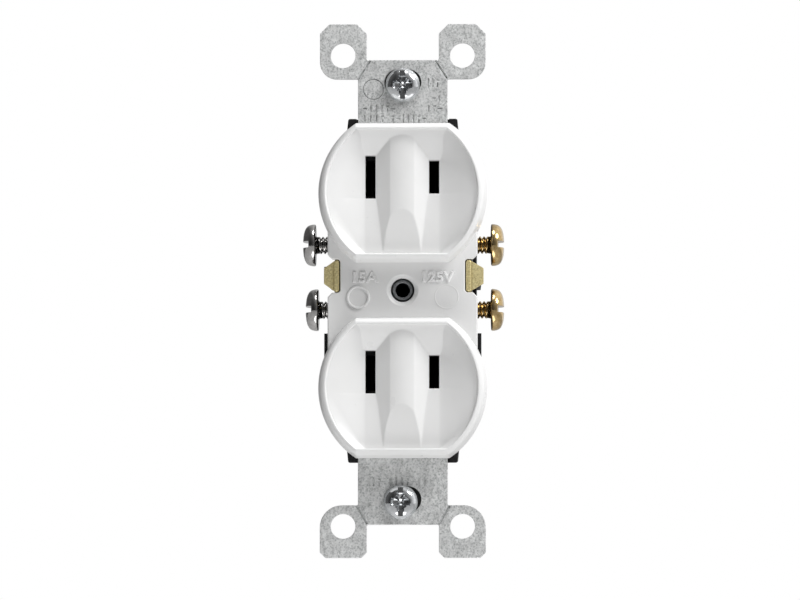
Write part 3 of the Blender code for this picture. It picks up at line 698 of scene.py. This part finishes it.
NOTCH_X = 12.45
NOTCH_LOW, NOTCH_HIGH = -0.46, 6.18
NOTCH_SLANT = 0.9
PLATE_HALF_WIDTH = 14.95
PLATE_END = FACE_Z[1] - 7.55  # inside the faces, short of their slots
PLATE_EDGE = 0.28
HOLE_RADIUS = 3.2
BORE_RADIUS = 2.36
HOLE_SECTION = [(BORE_RADIUS, 2.5 + OVERSHOOT), (BORE_RADIUS, 0.62), (BORE_RADIUS + 0.1, 0.5)]
HOLE_SECTION += [(HOLE_RADIUS - 0.08, 0.06), (HOLE_RADIUS + 0.04, 0.0), (HOLE_RADIUS + 1.2, -0.6)]
RATINGS = (("15A", -10.0, -4.75, 1.45, 3.75), ("125V", 3.9, 10.4, 1.5, 3.8))
RATING_HEIGHT = 0.38
RING_MARKS = (  # x, z, radius, width and height
    (-8.85, -1.45, 2.1, 0.5, 0.34),
    (8.8, -1.35, 2.35, 0.24, 0.05),
)
MARK_ROOT = 0.2  # how far raised marks reach into the plate
TEXT_HALF_DEPTH = 0.5  # these three in units of the font's size
TEXT_SLOPE = 0.065
TEXT_SPREAD = -0.006


def plate_outline():
    """The plate with a notch on each side for the brass tabs."""
    edge = [(PLATE_HALF_WIDTH, -PLATE_END, 0)]
    for z, way in ((NOTCH_LOW, -1), (NOTCH_HIGH, 1)):
        end = [(PLATE_HALF_WIDTH, z + way * NOTCH_SLANT, 0.5)]
        end += [(PLATE_HALF_WIDTH - NOTCH_SLANT, z, 0.3), (NOTCH_X, z, 0.6)]
        edge += end[::-way]
    edge = mirrored(edge + [(PLATE_HALF_WIDTH, PLATE_END, 0)])
    return round_corners([(x, z) for x, z, _ in edge], [radius for _, _, radius in edge])


def raised_text(text, left, right, bottom, top):
    """Generic rating text standing off the plate, fitted into a box."""
    curve = bpy.data.curves.new("rating", "FONT")
    curve.body = text
    curve.extrude = TEXT_HALF_DEPTH
    curve.bevel_depth = TEXT_SLOPE
    curve.bevel_resolution = 0
    curve.offset = TEXT_SPREAD
    curve.resolution_u = 4
    letters = place_in_scene("rating", curve)
    mesh = finished_mesh(letters)
    bpy.data.objects.remove(letters)
    bpy.data.curves.remove(curve)
    us = [vert.co.x for vert in mesh.vertices]
    vs = [vert.co.y for vert in mesh.vertices]
    for vert in mesh.vertices:
        u = left + (right - left) * (vert.co.x - min(us)) / (max(us) - min(us))
        v = bottom + (top - bottom) * (vert.co.y - min(vs)) / (max(vs) - min(vs))
        rise = (vert.co.z - TEXT_HALF_DEPTH) / TEXT_SLOPE
        behind = rise < -0.5  # the letters' backs
        vert.co = (u, PLATE_FRONT + (MARK_ROOT if behind else -RATING_HEIGHT * rise), v)
    bm = bmesh.new()
    bm.from_mesh(mesh)
    bmesh.ops.remove_doubles(bm, verts=bm.verts, dist=2 * TOLERANCE)
    bpy.data.meshes.remove(mesh)
    return solid(bm)


def raised_ring(x, z, radius, width, height):
    """A ring standing off the plate, with sloping sides."""
    inner = [(-0.5, -MARK_ROOT), (-0.5, height * 0.6), (-0.25, height)]
    section = inner + [(-share, level) for share, level in reversed(inner)]
    profile = [(radius + share * width, level) for share, level in section]
    return lathe(profile, "-Y", (x, PLATE_FRONT, z), closed=True)


def make_cover():
    plate = prism(plate_outline(), "Y", PLATE_FRONT, COVER_BACK)
    round_edges(plate, PLATE_EDGE, segments=3)
    cut(plate, lathe(HOLE_SECTION, "+Y", (0, PLATE_FRONT, 0), 64))
    for side in (1, -1):
        combine(plate, make_face(side), "UNION")
    pieces = [plate]
    pieces += [raised_text(*rating) for rating in RATINGS]
    pieces += [raised_ring(*mark) for mark in RING_MARKS]
    publish(join(pieces), "cover_moulding", "face_cover", "white_plastic")


# ---- Mounting strap ----

NECK_HALF_WIDTH = 8.95
NECK_END = {1: 46.15, -1: 46.75}
NECK_FILLET = 0.25
EAR_FOOT = {1: 42.3, -1: 42.85}
EAR_INNER = 7.2
EAR_CHAMFER = {1: 1.9, -1: 1.1}
EAR_SHOULDER = {1: 3.4, -1: 4.4}
EAR_CORNER, EAR_FILLET = 0.35, 0.3
EAR_HOLE_X = 11.92
EAR_HOLE_RADIUS = 2.47
SCORE_X = {1: (6.5, 8.85), -1: (7.1, 9.3)}  # where each score line starts and ends
SCORE_HALF_WIDTH = {1: 0.27, -1: 0.34}
SCORE_DEPTH = 0.5
SCORE_INSET = 0.1  # how far the score lines stop short of the strap's edges
MOUNT_SLOT_Z = 41.67
MOUNT_SLOT_HALF_WIDTH = 3.7
MOUNT_SLOT_RADIUS = 2.6
ASSEMBLY_HOLE_RADIUS = 1.6
BUSHING_HOLE_RADIUS = 2.5
BAR_HALF_WIDTH = 3.2
BAR_HALF_LENGTH = 29.0
PAD_RADIUS = 5.5
STRAP_EDGE = 0.14
STAMP_DEPTH = 0.34
STROKE_HALF_WIDTH = 0.23
STROKE_PITCH = 1.08
STROKE_TIP = 0.04  # a stroke's size at its ends, as a share of the rest
STAMPED_RING = (-5.85, 40.3, 2.0)  # x, z and radius
STAMPED_ROWS = (  # height, left end, right end and half height of each row of strokes
    (36.4, -8.1, -1.4, 0.62),
    (36.4, 4.6, 7.9, 0.55),
    (34.4, -8.2, -3.5, 0.60),
    (34.4, -2.5, 4.7, 0.75),
    (41.6, 4.6, 7.4, 0.80),
    (38.5, 5.7, 7.8, 0.50),
    (-38.1, -6.4, 4.9, 0.78),
)


def strap_edge(side):
    """The strap's outline on one half, for x > 0."""
    chamfer, shoulder = EAR_CHAMFER[side], EAR_SHOULDER[side]
    foot, end = EAR_FOOT[side], NECK_END[side]
    reach, outer = STRAP_HIGH.z, STRAP_HIGH.x
    pad_angle = degrees(acos(BAR_HALF_WIDTH / PAD_RADIUS))
    points = arc((0, 0), PAD_RADIUS, 0, pad_angle, 8)[1:]
    points += [(BAR_HALF_WIDTH, BAR_HALF_LENGTH), (NECK_HALF_WIDTH, BAR_HALF_LENGTH)]
    fillet = (NECK_HALF_WIDTH + NECK_FILLET, foot - NECK_FILLET)
    points += arc(fillet, NECK_FILLET, 180, 90, 3)
    points += arc((outer - shoulder, foot + shoulder), shoulder, -90, 0, 14)
    ear = [(outer, foot + shoulder), (outer, reach - chamfer), (outer - chamfer, reach)]
    ear += [(EAR_INNER + chamfer, reach), (EAR_INNER, reach - chamfer), (EAR_INNER, end)]
    points += round_corners(ear, [0] + [EAR_CORNER] * 4 + [0], 3)[1:-1]
    points += arc((EAR_INNER - EAR_FILLET, end + EAR_FILLET), EAR_FILLET, 0, -90, 3)
    return [(x, side * z) for x, z in points]


def along_and_across(start, end):
    along = (end - start).normalized()
    return along, Vector((-along.y, along.x))


def diamond(point, across, level, before, behind):
    """The section of a V groove's cutter round a point on the strap's front."""
    left, right = point - across, point + across
    front, back = (point.x, level - before, point.y), (point.x, level + behind, point.y)
    return [(left.x, level, left.y), front, (right.x, level, right.y), back]


def score_groove(hand, side):
    """The cutter for the V groove across the root of one break-off ear."""
    first, last = SCORE_X[side]
    start = Vector((hand * first, side * (NECK_END[side] - SCORE_INSET)))
    end = Vector((hand * last, side * (EAR_FOOT[side] + SCORE_INSET)))
    across = along_and_across(start, end)[1] * SCORE_HALF_WIDTH[side]
    section = (across, STRAP_LOW.y, SCORE_DEPTH, SCORE_DEPTH)
    return skin([diamond(point, *section) for point in (start, end)])


def stroke(start, end):
    """The cutter for a V-shaped stamped line between two points."""
    start, end = Vector(start), Vector(end)
    along, across = along_and_across(start, end)
    across *= STROKE_HALF_WIDTH * 2
    reach = along * STROKE_HALF_WIDTH
    rings = []
    stations = (start - reach, STROKE_TIP), (start, 1), (end, 1), (end + reach, STROKE_TIP)
    for point, share in stations:
        depth = STAMP_DEPTH * share
        rings.append(diamond(point, across * share, STRAP_LOW.y - depth, depth, 2 * depth))
    return skin(rings)


def stamp_marks():
    """Plain stamped marks where the strap carries approval text: a ring and rows of strokes."""
    x, z, radius = STAMPED_RING
    slope = 0.17  # half the width of the ring's groove
    ring = [(radius - slope, -STAMP_DEPTH), (radius, STAMP_DEPTH), (radius + slope, -STAMP_DEPTH)]
    marks = [lathe(ring, "+Y", (x, STRAP_LOW.y, z), 40, closed=True)]
    for row, (z, first, last, tall) in enumerate(STAMPED_ROWS):
        count = round((last - first) / STROKE_PITCH)
        for index in range(count):
            x = first + (last - first) * (index + 0.5) / count
            kind = (2 * index + row) % 5  # a dash, a short stroke with a bar, or a full stroke
            if kind == 0:
                marks.append(stroke((x - 0.3, z), (x + 0.3, z)))
            elif kind == 3:
                marks.append(stroke((x, z - tall), (x, z - 0.1)))
                marks.append(stroke((x - 0.2, z + 0.5), (x + 0.2, z + 0.5)))
            else:
                marks.append(stroke((x, z - tall), (x, z + tall)))
    return marks


def make_strap():
    outline = mirrored(strap_edge(1)) + mirrored(strap_edge(-1))[::-1]
    strap = prism(outline, "Y", STRAP_LOW.y, STRAP_HIGH.y)
    openings = [circle((0, 0), BUSHING_HOLE_RADIUS)]
    grooves = []
    half_length = MOUNT_SLOT_HALF_WIDTH - MOUNT_SLOT_RADIUS
    for side in (1, -1):
        centre_z = side * MOUNT_SLOT_Z
        slot = arc((half_length, centre_z), MOUNT_SLOT_RADIUS, -90, 90, 20)
        slot += arc((-half_length, centre_z), MOUNT_SLOT_RADIUS, 90, 270, 20)
        openings += [slot, circle((0, side * ASSEMBLY_Z), ASSEMBLY_HOLE_RADIUS, 32)]
        for hand in (1, -1):
            openings.append(circle((hand * EAR_HOLE_X, side * EAR_Z), EAR_HOLE_RADIUS))
            grooves.append(score_groove(hand, side))
    low, high = STRAP_LOW.y - OVERSHOOT, STRAP_HIGH.y + OVERSHOOT
    cut(strap, *[prism(opening, "Y", low, high) for opening in openings])
    round_edges(strap, STRAP_EDGE)
    cut(strap, *grooves)
    for mark in stamp_marks():
        cut(strap, mark)
    publish(strap, "strap_stamping", "mounting_strap", "galvanised_steel")


# ---- Screws, washers and bushing ----

MACHINE_THREAD = (1.75, 1.34, 0.794)  # major radius, minor radius and pitch
ASSEMBLY_THREAD = (1.3, 1.02, 0.7)
# Which way each screw faces, its head's radius and height, its cross's reach, its edge and its thread
MOUNTING_SCREW = ("-Y", (3.4, 1.9), 2.15, 0.07, MACHINE_THREAD, (64, 36, 8))
ASSEMBLY_SCREW = ("+Y", (2.5, 1.8), 1.5, 0.05, ASSEMBLY_THREAD, (48, 28, 7))
TERMINAL_HEAD_HEIGHT = 2.6  # the head's section is (radius, height above its seat) points
TERMINAL_HEAD = [(0.05, 2.6), (1.2, 2.57), (2.2, 2.46), (3.0, 2.24), (3.55, 1.94), (3.88, 1.6)]
TERMINAL_HEAD += [(4.06, 1.2), (4.17, 0.7), (4.2, 0.25), (4.12, 0.06), (3.95, 0.0)]
TERMINAL_HEAD += [(2.6, 0.06), (2.1, 0.0), (1.75, -0.12), (1.62, -0.9)]
TERMINAL_SLOT = (1.2, 0.64, 6.0)  # depth, half width and half length
DRIVE_SLOT = (0.52, 0.72)  # half width and depth
DRIVE_CROSS = (0.36, 1.45)
CROSS_FOOT = 0.72  # the cross's reach at its bottom, as a share of its reach at the top
DRIVE_RISE = 0.6  # how far the drive's cutters stand above the head
DRIVE_CONE = ((1.75, 0.5), (1.2, -0.75), (0.62, -1.5), (0.05, -1.75))
PAN_CROWN = ((0.3, 0.02), (0.5, 0.07), (0.68, 0.17), (0.82, 0.32), (0.92, 0.52), (0.98, 0.74))
PAN_RIM = ((1.0, 0.16), (0.985, 0.04), (0.95, 0.0))  # shares of the head's radius and height


def make_terminal_screw(name, hand):
    inner, outer = reach_of(name, hand)
    centre = middle(name)
    outward, inward = ("+X", "-X") if hand > 0 else ("-X", "+X")
    seat = (hand * (outer - TERMINAL_HEAD_HEIGHT), centre.y, centre.z)
    head = lathe(TERMINAL_HEAD, outward, seat, 64)
    depth, half_width, half_length = TERMINAL_SLOT
    slot = around(centre.y, half_length), around(centre.z, half_width)
    cut(head, block(hand, (outer - depth, outer + OVERSHOOT), *slot))
    round_edges(head, 0.09, 40)
    shank = thread(MACHINE_THREAD, 0.25, outer - TERMINAL_HEAD_HEIGHT - inner, inward, seat)
    plating = "screw_brass" if hand > 0 else "nickel_plate"
    publish(join([head, shank]), name + "_body", name, plating)


def drive_recess(direction, origin, slot_reach, cross_reach):
    """The cutters for a combination recess in a head whose top is at the origin."""
    sign = DIRECTION[direction][1]
    x, y, z = origin

    def bar(half_u, half_v, depth, flare):
        rings = []
        for level, grow in ((DRIVE_RISE, flare), (-depth, 0.0)):
            u, v = half_u + grow, half_v + grow
            corners = ((-u, -v), (u, -v), (u, v), (-u, v))
            rings.append([(x + du, y + sign * level, z + dv) for du, dv in corners])
        return skin(rings)

    half_width, depth = DRIVE_CROSS
    foot = cross_reach * CROSS_FOOT
    slot = bar(DRIVE_SLOT[0], slot_reach, DRIVE_SLOT[1], 0.05)
    cross = bar(foot, half_width, depth, cross_reach - foot)
    upright = bar(half_width, foot, depth, cross_reach - foot)
    return [slot, cross, upright, lathe(DRIVE_CONE, direction, origin, 32)]


def pan_head(radius, height, shank):
    """The section of a pan head on its neck, underside at height 0."""
    points = [(0.05, height)]
    points += [(radius * share, height * (1 - drop)) for share, drop in PAN_CROWN]
    points += [(radius * share, height * level) for share, level in PAN_RIM]
    return points + [(shank, 0.0), (shank * 0.93, -0.6)]


def make_pan_screw(name, facing, head_size, cross_reach, edge, thread_size, fineness):
    low, high = extent(name)
    centre = middle(name)
    radius, tall = head_size
    sign = DIRECTION[facing][1]
    crown, tip = (high.y, low.y) if sign > 0 else (low.y, high.y)
    seat = (centre.x, crown - sign * tall, centre.z)
    head_steps, steps, per_turn = fineness
    screw = lathe(pan_head(radius, tall, thread_size[0]), facing, seat, head_steps)
    for tool in drive_recess(facing, (centre.x, crown, centre.z), radius + 0.5, cross_reach):
        cut(screw, tool)
    round_edges(screw, edge, 38)
    towards = "-Y" if sign > 0 else "+Y"
    shank = thread(thread_size, 0.3, abs(tip - seat[1]), towards, seat, steps, per_turn)
    publish(join([screw, shank]), name + "_body", name, "zinc_plate")


def make_washer(name):
    low, high = extent(name)
    centre = middle(name)
    wide, tall, clip = high.x - centre.x, high.z - centre.z, 1.2
    corners = [(wide, tall - clip), (wide - clip, tall), (clip - wide, tall), (-wide, tall - clip)]
    corners += [(-u, -v) for u, v in corners]
    outline = round_corners([(centre.x + u, centre.z + v) for u, v in corners], [0.25] * 8, 3)
    washer = prism(outline, "Y", low.y, high.y)
    hole = circle((centre.x, centre.z), 2.05)
    cut(washer, prism(hole, "Y", low.y - OVERSHOOT, high.y + OVERSHOOT))
    round_edges(washer, 0.1)
    publish(washer, name + "_disc", name, "black_fibre")


def make_bushing():
    """A flanged sleeve with a smaller collar in front and an inner thread."""
    low, high = extent("centre_bushing")
    bore, collar, outer, flange = 1.45, 1.95, 2.2, high.x
    root = bore + 0.2
    pitch = MACHINE_THREAD[2]
    profile = [(root, low.y), (collar - 0.08, low.y), (collar, low.y + 0.08), (collar, -0.6)]
    profile += [(outer, -0.4), (outer, 0.3), (flange - 0.1, 0.3), (flange, 0.4), (flange, 1.2)]
    profile += [(flange - 0.1, 1.3), (outer, 1.3), (outer, high.y - 0.15)]
    profile += [(outer - 0.15, high.y), (root, high.y)]
    for turn in range(int((high.y - low.y - 0.6) / pitch)):
        level = high.y - 0.25 - turn * pitch
        profile += [(bore, level), (root, level - pitch / 2)]
    profile.append((bore, low.y + 0.2))
    bushing = lathe(profile, "+Y", (0, 0, 0), 56, closed=True)
    publish(bushing, "bushing_sleeve", "centre_bushing", "dark_steel", 40)


# ---- Contacts, tabs and wire clamps ----

STRIP_X = (12.8, 13.6)
STRIP_Y = (2.4, 13.0)
STRIP_EDGE = 0.12
STRIP_HOLE_RADIUS = 2.05
SHEET = 0.8
DIVIDER_HALF_WIDTH = 1.65  # the housing's wall between two terminals
DIVIDER_GAP = 0.6
SLOT_RAISE = 3.05  # the blade slots' middle above the face's centre
LEAF_HALF_HEIGHT = 3.1
LEAF_EDGE = 0.1
LEAF_LINE = [(1.5, 2.0), (0.6, 4.6), (1.35, 8.0), (1.35, 12.6)]
ARM_HALF_HEIGHT = 1.5
TAB_Z = (-0.28, 6.0)
TAB_X = (STRIP_X[0] - 0.16, STRIP_X[1] + 0.12)
TAB_CREST = 1.4  # depth of the tab's rounded front
TAB_BACK = 4.0
FIN_FRONT = 0.28  # behind the front of the tab
FIN_SLANT = 1.6
FIN_EXTRA = {1: 0.45, -1: 0.0}  # how much further the fin reaches than the CAD one
GROOVE_X = (STRIP_X[1] + 0.12, STRIP_X[1] + 0.32)
GROOVE_DEPTH = 0.4
HINGE = (9.7, 12.1)  # distance from the middle plane and depth of a clamp's bend
CLAMP_LINE = ((1.2, 0.35), (0.0, 0.0), (2.5, -5.3), (2.2, -6.2))
CLAMP_SHEET = 0.4


def ribbon(points, thickness):
    """The closed outline of a bent strip of even thickness along a line of (u, v) points."""
    points = [Vector(point) for point in points]
    ways = [(after - before).normalized() for before, after in zip(points, points[1:])]
    left, right = [], []
    for point, before, after in zip(points, ways[:1] + ways, ways + ways[-1:]):
        bisector = (before + after).normalized()
        across = Vector((-bisector.y, bisector.x)) * (thickness / 2 / bisector.dot(after))
        left.append(tuple(point + across))
        right.append(tuple(point - across))
    return left + right[::-1]


def make_tab(name, hand):
    """The break-off tab between the two terminals: its crest, its scored fin and its root."""
    front = extent(name)[0].y
    low, high = TAB_Z
    near, far = TAB_X
    bar = round_corners([(near, low), (far, low), (far, high), (near, high)], [0.5] * 4, 5)
    crest = prism([(hand * x, z) for x, z in bar], "Y", front, front + TAB_CREST)
    round_edges(crest, 0.24, 50, 3)
    (near, far), tip = STRIP_X, reach_of(name, hand)[1] + FIN_EXTRA[hand]
    fin = [(near, low + 0.1), (far, low + 0.1), (tip, low + FIN_SLANT)]
    fin += [(tip, high - FIN_SLANT), (far, high - 0.1), (near, high - 0.1)]
    fin = round_corners(fin, [0, 0, 0.25, 0.25, 0, 0], 3)
    fin_y = front + FIN_FRONT
    wing = prism([(hand * x, z) for x, z in fin], "Y", fin_y, fin_y + SHEET)
    round_edges(wing, 0.1)
    past = (low - OVERSHOOT, high + OVERSHOOT)
    cut(wing, block(hand, GROOVE_X, (front, front + GROOVE_DEPTH), past))
    return [crest, wing, block(hand, STRIP_X, (front + 1.0, TAB_BACK), TAB_Z)]


def make_contact(name, hand):
    """The brass strip with its break-off tab, screw holes and two pairs of spring leaves."""
    pieces = make_tab(name, hand)
    line = [(hand * SLOT_X + x, y) for x, y in mirrored(LEAF_LINE)]
    line = ribbon(line, SHEET - 0.02)
    for side in (-1, 1):
        leaf = FACE_Z[side] + SLOT_RAISE
        start = TERMINAL_CENTRE + side * (DIVIDER_HALF_WIDTH + DIVIDER_GAP)
        strip = block(hand, STRIP_X, STRIP_Y, (start, leaf + side * 1.6))
        hole = circle((TERMINAL_Y, TERMINAL_Z[side]), STRIP_HOLE_RADIUS)
        cut(strip, prism(hole, "X", hand * 12.0, hand * 14.4))
        round_edges(strip, STRIP_EDGE)
        arm_x = (SLOT_X, STRIP_X[1] - 0.01)
        arm_y = (STRIP_Y[1] - SHEET, STRIP_Y[1])
        arm = block(hand, arm_x, arm_y, around(leaf, ARM_HALF_HEIGHT))
        leaves = prism(line, "Z", *around(leaf, LEAF_HALF_HEIGHT))
        round_edges(leaves, LEAF_EDGE)
        pieces += [strip, arm, leaves]
    publish(join(pieces), name + "_strip", name, "brass")


def make_wire_clamp(name, hand):
    low, high = extent(name)
    line = [(hand * (HINGE[0] + x), HINGE[1] + y) for x, y in CLAMP_LINE]
    clamp = prism(ribbon(line, CLAMP_SHEET), "Z", low.z, high.z)
    round_edges(clamp, 0.08)
    publish(clamp, name + "_leaf", name, "spring_bronze")


# ---- Black housing ----

BODY_CORNERS = [(15.7, 24.2), (11.2, 31.4), (10.9, 34.4)]  # one quarter of the outline
BODY_CORNER_RADII = [1.2, 1.2, 0.4]
BODY_EDGE = 0.7
SIDE_DRAFT = 0.033  # how much the housing narrows and shortens per millimetre of depth
END_DRAFT = 0.05
CHANNEL = (9.25, 36.0, 0.3)  # half width, half length and floor of the strap's channel
LEAF_ROOM_X = (4.0, 9.1)
LEAF_ROOM_HALF_HEIGHT = 3.6
STRIP_ROOM_X = (9.0, 13.9)
STRIP_ROOM_END = 1.9  # past the leaves' middle
CAVITY_BACK = 13.3
RECESS_WALL_X = 12.5
RECESS_FLOOR_X = 14.2  # the housing's side behind the terminals
RECESS_BACK = 15.0
RECESS_REACH = 11.7
OUTSIDE_X = 17.0  # past the housing's side
OVERLAP = 0.5  # how far two cutters share a space
SHANK_ROOM = ((2.05, 0.0), (2.05, 7.1))  # these are radii with depths along each bore
SHANK_ROOM_X = 14.0
SHANK_ROOM_Z = 6.5  # from the middle between the terminals
WIRE_BORE = ((1.2, 0.0), (1.2, 8.85), (1.42, 9.2), (1.42, 10.5))
WIRE_X = 11.3
CLAMP_OFFSET = 13.4  # the wire holes, from the middle between the terminals
RELEASE_X = (9.15, 9.8)
RELEASE_HALF_HEIGHT = 1.3
HEAD_BORE_RADIUS = 3.1
HEAD_BORE_FRONT = 17.0
SCREW_BORE = (1.6, 17.5)  # radius and depth
TAB_ROOM = ((RECESS_WALL_X, 13.9), 4.3, 4.0)  # distances sideways, depth and half height
CENTRE_BORE = ((3.6, 1.6), (2.5, 1.6), (2.5, 7.3), (2.05, 7.3), (2.05, 18.0), (0.4, 18.6))


def body_shell():
    """The housing's outside, narrowing towards a rounded back edge."""
    outline = mirrored(BODY_CORNERS)
    outline += [(-x, -z) for x, z in outline]
    outline = round_corners(outline, (BODY_CORNER_RADII + BODY_CORNER_RADII[::-1]) * 2, 5)
    levels = [(0.3, BODY_LOW.y), (0.1, BODY_LOW.y + 0.1), (0.0, BODY_LOW.y + 0.3)]
    for angle in (0, 22.5, 45, 67.5, 90):
        turn = radians(angle)
        inset = BODY_EDGE * (1 - cos(turn))
        levels.append((inset, BODY_HIGH.y - BODY_EDGE * (1 - sin(turn))))
    rings = []
    for inset, y in levels:
        depth = y - BODY_LOW.y
        narrow = 1 - (inset + SIDE_DRAFT * depth) / BODY_CORNERS[0][0]
        shorten = 1 - (inset + END_DRAFT * depth) / BODY_CORNERS[-1][1]
        rings.append([(x * narrow, y, z * shorten) for x, z in outline])
    return skin(rings)


def make_housing():
    body = body_shell()
    front, back = BODY_LOW.y - OVERSHOOT, BODY_HIGH.y + OVERSHOOT
    half_width, half_length, floor = CHANNEL
    cut(body, block(1, around(0, half_width), (front, floor), around(0, half_length)))
    for side in (-1, 1):
        leaf = FACE_Z[side] + SLOT_RAISE
        reach = TERMINAL_CENTRE + side * RECESS_REACH
        recess_z = (TERMINAL_CENTRE + side * DIVIDER_HALF_WIDTH, reach)
        strip_z = (reach - side * OVERLAP, leaf + side * STRIP_ROOM_END)
        rooms = (
            (LEAF_ROOM_X, (front, CAVITY_BACK + 0.1), around(leaf, LEAF_ROOM_HALF_HEIGHT)),
            (STRIP_ROOM_X, (front, CAVITY_BACK), strip_z),
            ((RECESS_WALL_X, OUTSIDE_X), (front, RECESS_BACK), recess_z),
            ((RECESS_FLOOR_X, OUTSIDE_X), (RECESS_BACK - OVERLAP, back), recess_z),
        )
        shank_z = TERMINAL_CENTRE + side * SHANK_ROOM_Z
        shank_rooms = []
        for hand in (-1, 1):
            for room in rooms:  # one by one, because these overlap
                cut(body, block(hand, *room))
            mouth = (hand * SHANK_ROOM_X, TERMINAL_Y, shank_z)
            shank_rooms.append(lathe(SHANK_ROOM, "-X" if hand > 0 else "+X", mouth, 32))
        cut(body, *shank_rooms)

        clamp = TERMINAL_CENTRE + side * CLAMP_OFFSET
        release_z = around(clamp, RELEASE_HALF_HEIGHT)
        inside = CAVITY_BACK - OVERLAP
        holes = []
        for hand in (-1, 1):
            holes.append(lathe(WIRE_BORE, "+Y", (hand * WIRE_X, inside, clamp), 40))
            holes.append(block(hand, RELEASE_X, (inside, back), release_z))
        head_bore = [(HEAD_BORE_RADIUS, HEAD_BORE_FRONT), (HEAD_BORE_RADIUS, back)]
        holes.append(lathe(head_bore, "+Y", (0, 0, side * ASSEMBLY_Z), 48))
        cut(body, *holes)

    room_x, room_back, half_height = TAB_ROOM
    for hand in (-1, 1):
        cut(body, block(hand, room_x, (front, room_back), around(TERMINAL_CENTRE, half_height)))
    centre_bore = [(CENTRE_BORE[0][0], front)] + list(CENTRE_BORE)
    drills = [lathe(centre_bore, "+Y", (0, 0, 0), 40)]
    radius, depth = SCREW_BORE
    for side in (-1, 1):
        screw_bore = [(radius, front), (radius, depth)]
        drills.append(lathe(screw_bore, "+Y", (0, 0, side * ASSEMBLY_Z), 28))
    cut(body, *drills)
    round_edges(body, 0.16, 40)
    publish(body, "housing_moulding", "back_body", "black_plastic")


# ---- All the pieces ----

make_cover()
make_strap()
make_housing()
make_bushing()
for pole, pole_hand in (("neutral", -1), ("hot", 1)):
    make_contact(f"{pole}_contact", pole_hand)
    for level in ("upper", "lower"):
        make_terminal_screw(f"{pole}_screw_{level}", pole_hand)
        make_wire_clamp(f"wire_clamp_{pole}_{level}", pole_hand)
for end in ("top", "bottom"):
    make_pan_screw(f"mounting_screw_{end}", *MOUNTING_SCREW)
    make_pan_screw(f"assembly_screw_{end}", *ASSEMBLY_SCREW)
    make_washer(f"retaining_washer_{end}")


# ---- Stage, light and camera, in metres ----

FLOOR_DROP = 0.5  # below the receptacle
FLOOR_RADIUS = 6.0
LIGHTS = (  # name, place, size and power; all of them face the receptacle
    ("key", (0.40, -0.26, 0.43), 0.28, 2.5),
    ("top_fill", (0.03, -0.19, 0.62), 0.3, 1.75),
    ("under_fill", (0.0, -0.30, -0.46), 0.4, 1.05),
)
CAMERA_DISTANCE = 2.2
CAMERA_TURN = radians(1.9)  # to the right of the faces
CAMERA_RISE = radians(-3.6)  # above them
CAMERA_TARGET = Vector((0.0, -0.001, 0.0))
CAMERA_SHIFT = (-0.0035, -0.0117)
VIEW_WIDTH = 0.1596  # at the target


def make_stage():
    """A wide pale floor below the receptacle."""
    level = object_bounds()[0].z - FLOOR_DROP
    bm = bmesh.new()
    bm.faces.new([bm.verts.new((x, y, level)) for x, y in circle((0, 0), FLOOR_RADIUS, 64)])
    floor = solid(bm, "studio_floor")
    look = Shading("pale_floor", 0.9)
    look.colour(look.ramp(look.noise(60.0, 3.0), (0.3, 0.86), (0.7, 0.90)))
    floor.data.materials.append(look.material)


def add_light(name, place, size, power):
    data = bpy.data.lights.new(name, "AREA")
    data.shape = "DISK"
    data.size = size
    data.energy = power
    light = place_in_scene(name, data)
    light.location = place
    light.rotation_euler = (-Vector(place)).to_track_quat("-Z", "Y").to_euler()


def make_world():
    """A studio room, plain white to the camera, brightest at the right and above, dim in front."""
    world = bpy.data.worlds.new("studio")
    bpy.context.scene.world = world
    world.use_nodes = True
    tree = world.node_tree
    way = add_node(tree, "TexCoord", "Generated")

    def grade(axis, *ends):
        return map_range(tree, add_node(tree, "SeparateXYZ", axis, Vector=way), *ends)

    across = grade("X", -0.45, 0.45, 0.11, 1.0)
    upward = grade("Z", -0.8, 0.9, 0.78, 1.05)
    forward = grade("Y", -0.95, -0.15, 0.20, 1.08)
    room = across
    for factor in (upward, forward):
        node = tree.nodes.new("ShaderNodeMath")
        node.operation = "MULTIPLY"
        tree.links.new(room, node.inputs[0])
        tree.links.new(factor, node.inputs[1])
        room = node.outputs["Value"]
    seen = add_node(tree, "LightPath", "Is Camera Ray")
    strength = add_node(tree, "Mix", "Result", Factor=seen, A=room, B=1.0)
    background = tree.nodes["Background"]
    background.inputs["Color"].default_value = (1.0, 1.0, 1.0, 1.0)
    tree.links.new(strength, background.inputs["Strength"])


def make_camera():
    """A long lens, two degrees to the right of the faces and a few degrees below them."""
    data = bpy.data.cameras.new("camera")
    camera = place_in_scene("camera", data)
    level = Vector((sin(CAMERA_TURN), -cos(CAMERA_TURN), 0.0))
    away = level * cos(CAMERA_RISE) + Vector((0.0, 0.0, sin(CAMERA_RISE)))
    camera.location = CAMERA_TARGET + away * CAMERA_DISTANCE
    camera.rotation_euler = (-away).to_track_quat("-Z", "Y").to_euler()
    data.lens = data.sensor_width * CAMERA_DISTANCE / VIEW_WIDTH
    data.clip_start = 0.05
    data.clip_end = 20.0
    data.shift_x, data.shift_y = CAMERA_SHIFT
    bpy.context.scene.camera = camera


make_stage()
for light_values in LIGHTS:
    add_light(*light_values)
make_world()
make_camera()
bpy.context.scene.view_settings.view_transform = "Standard"
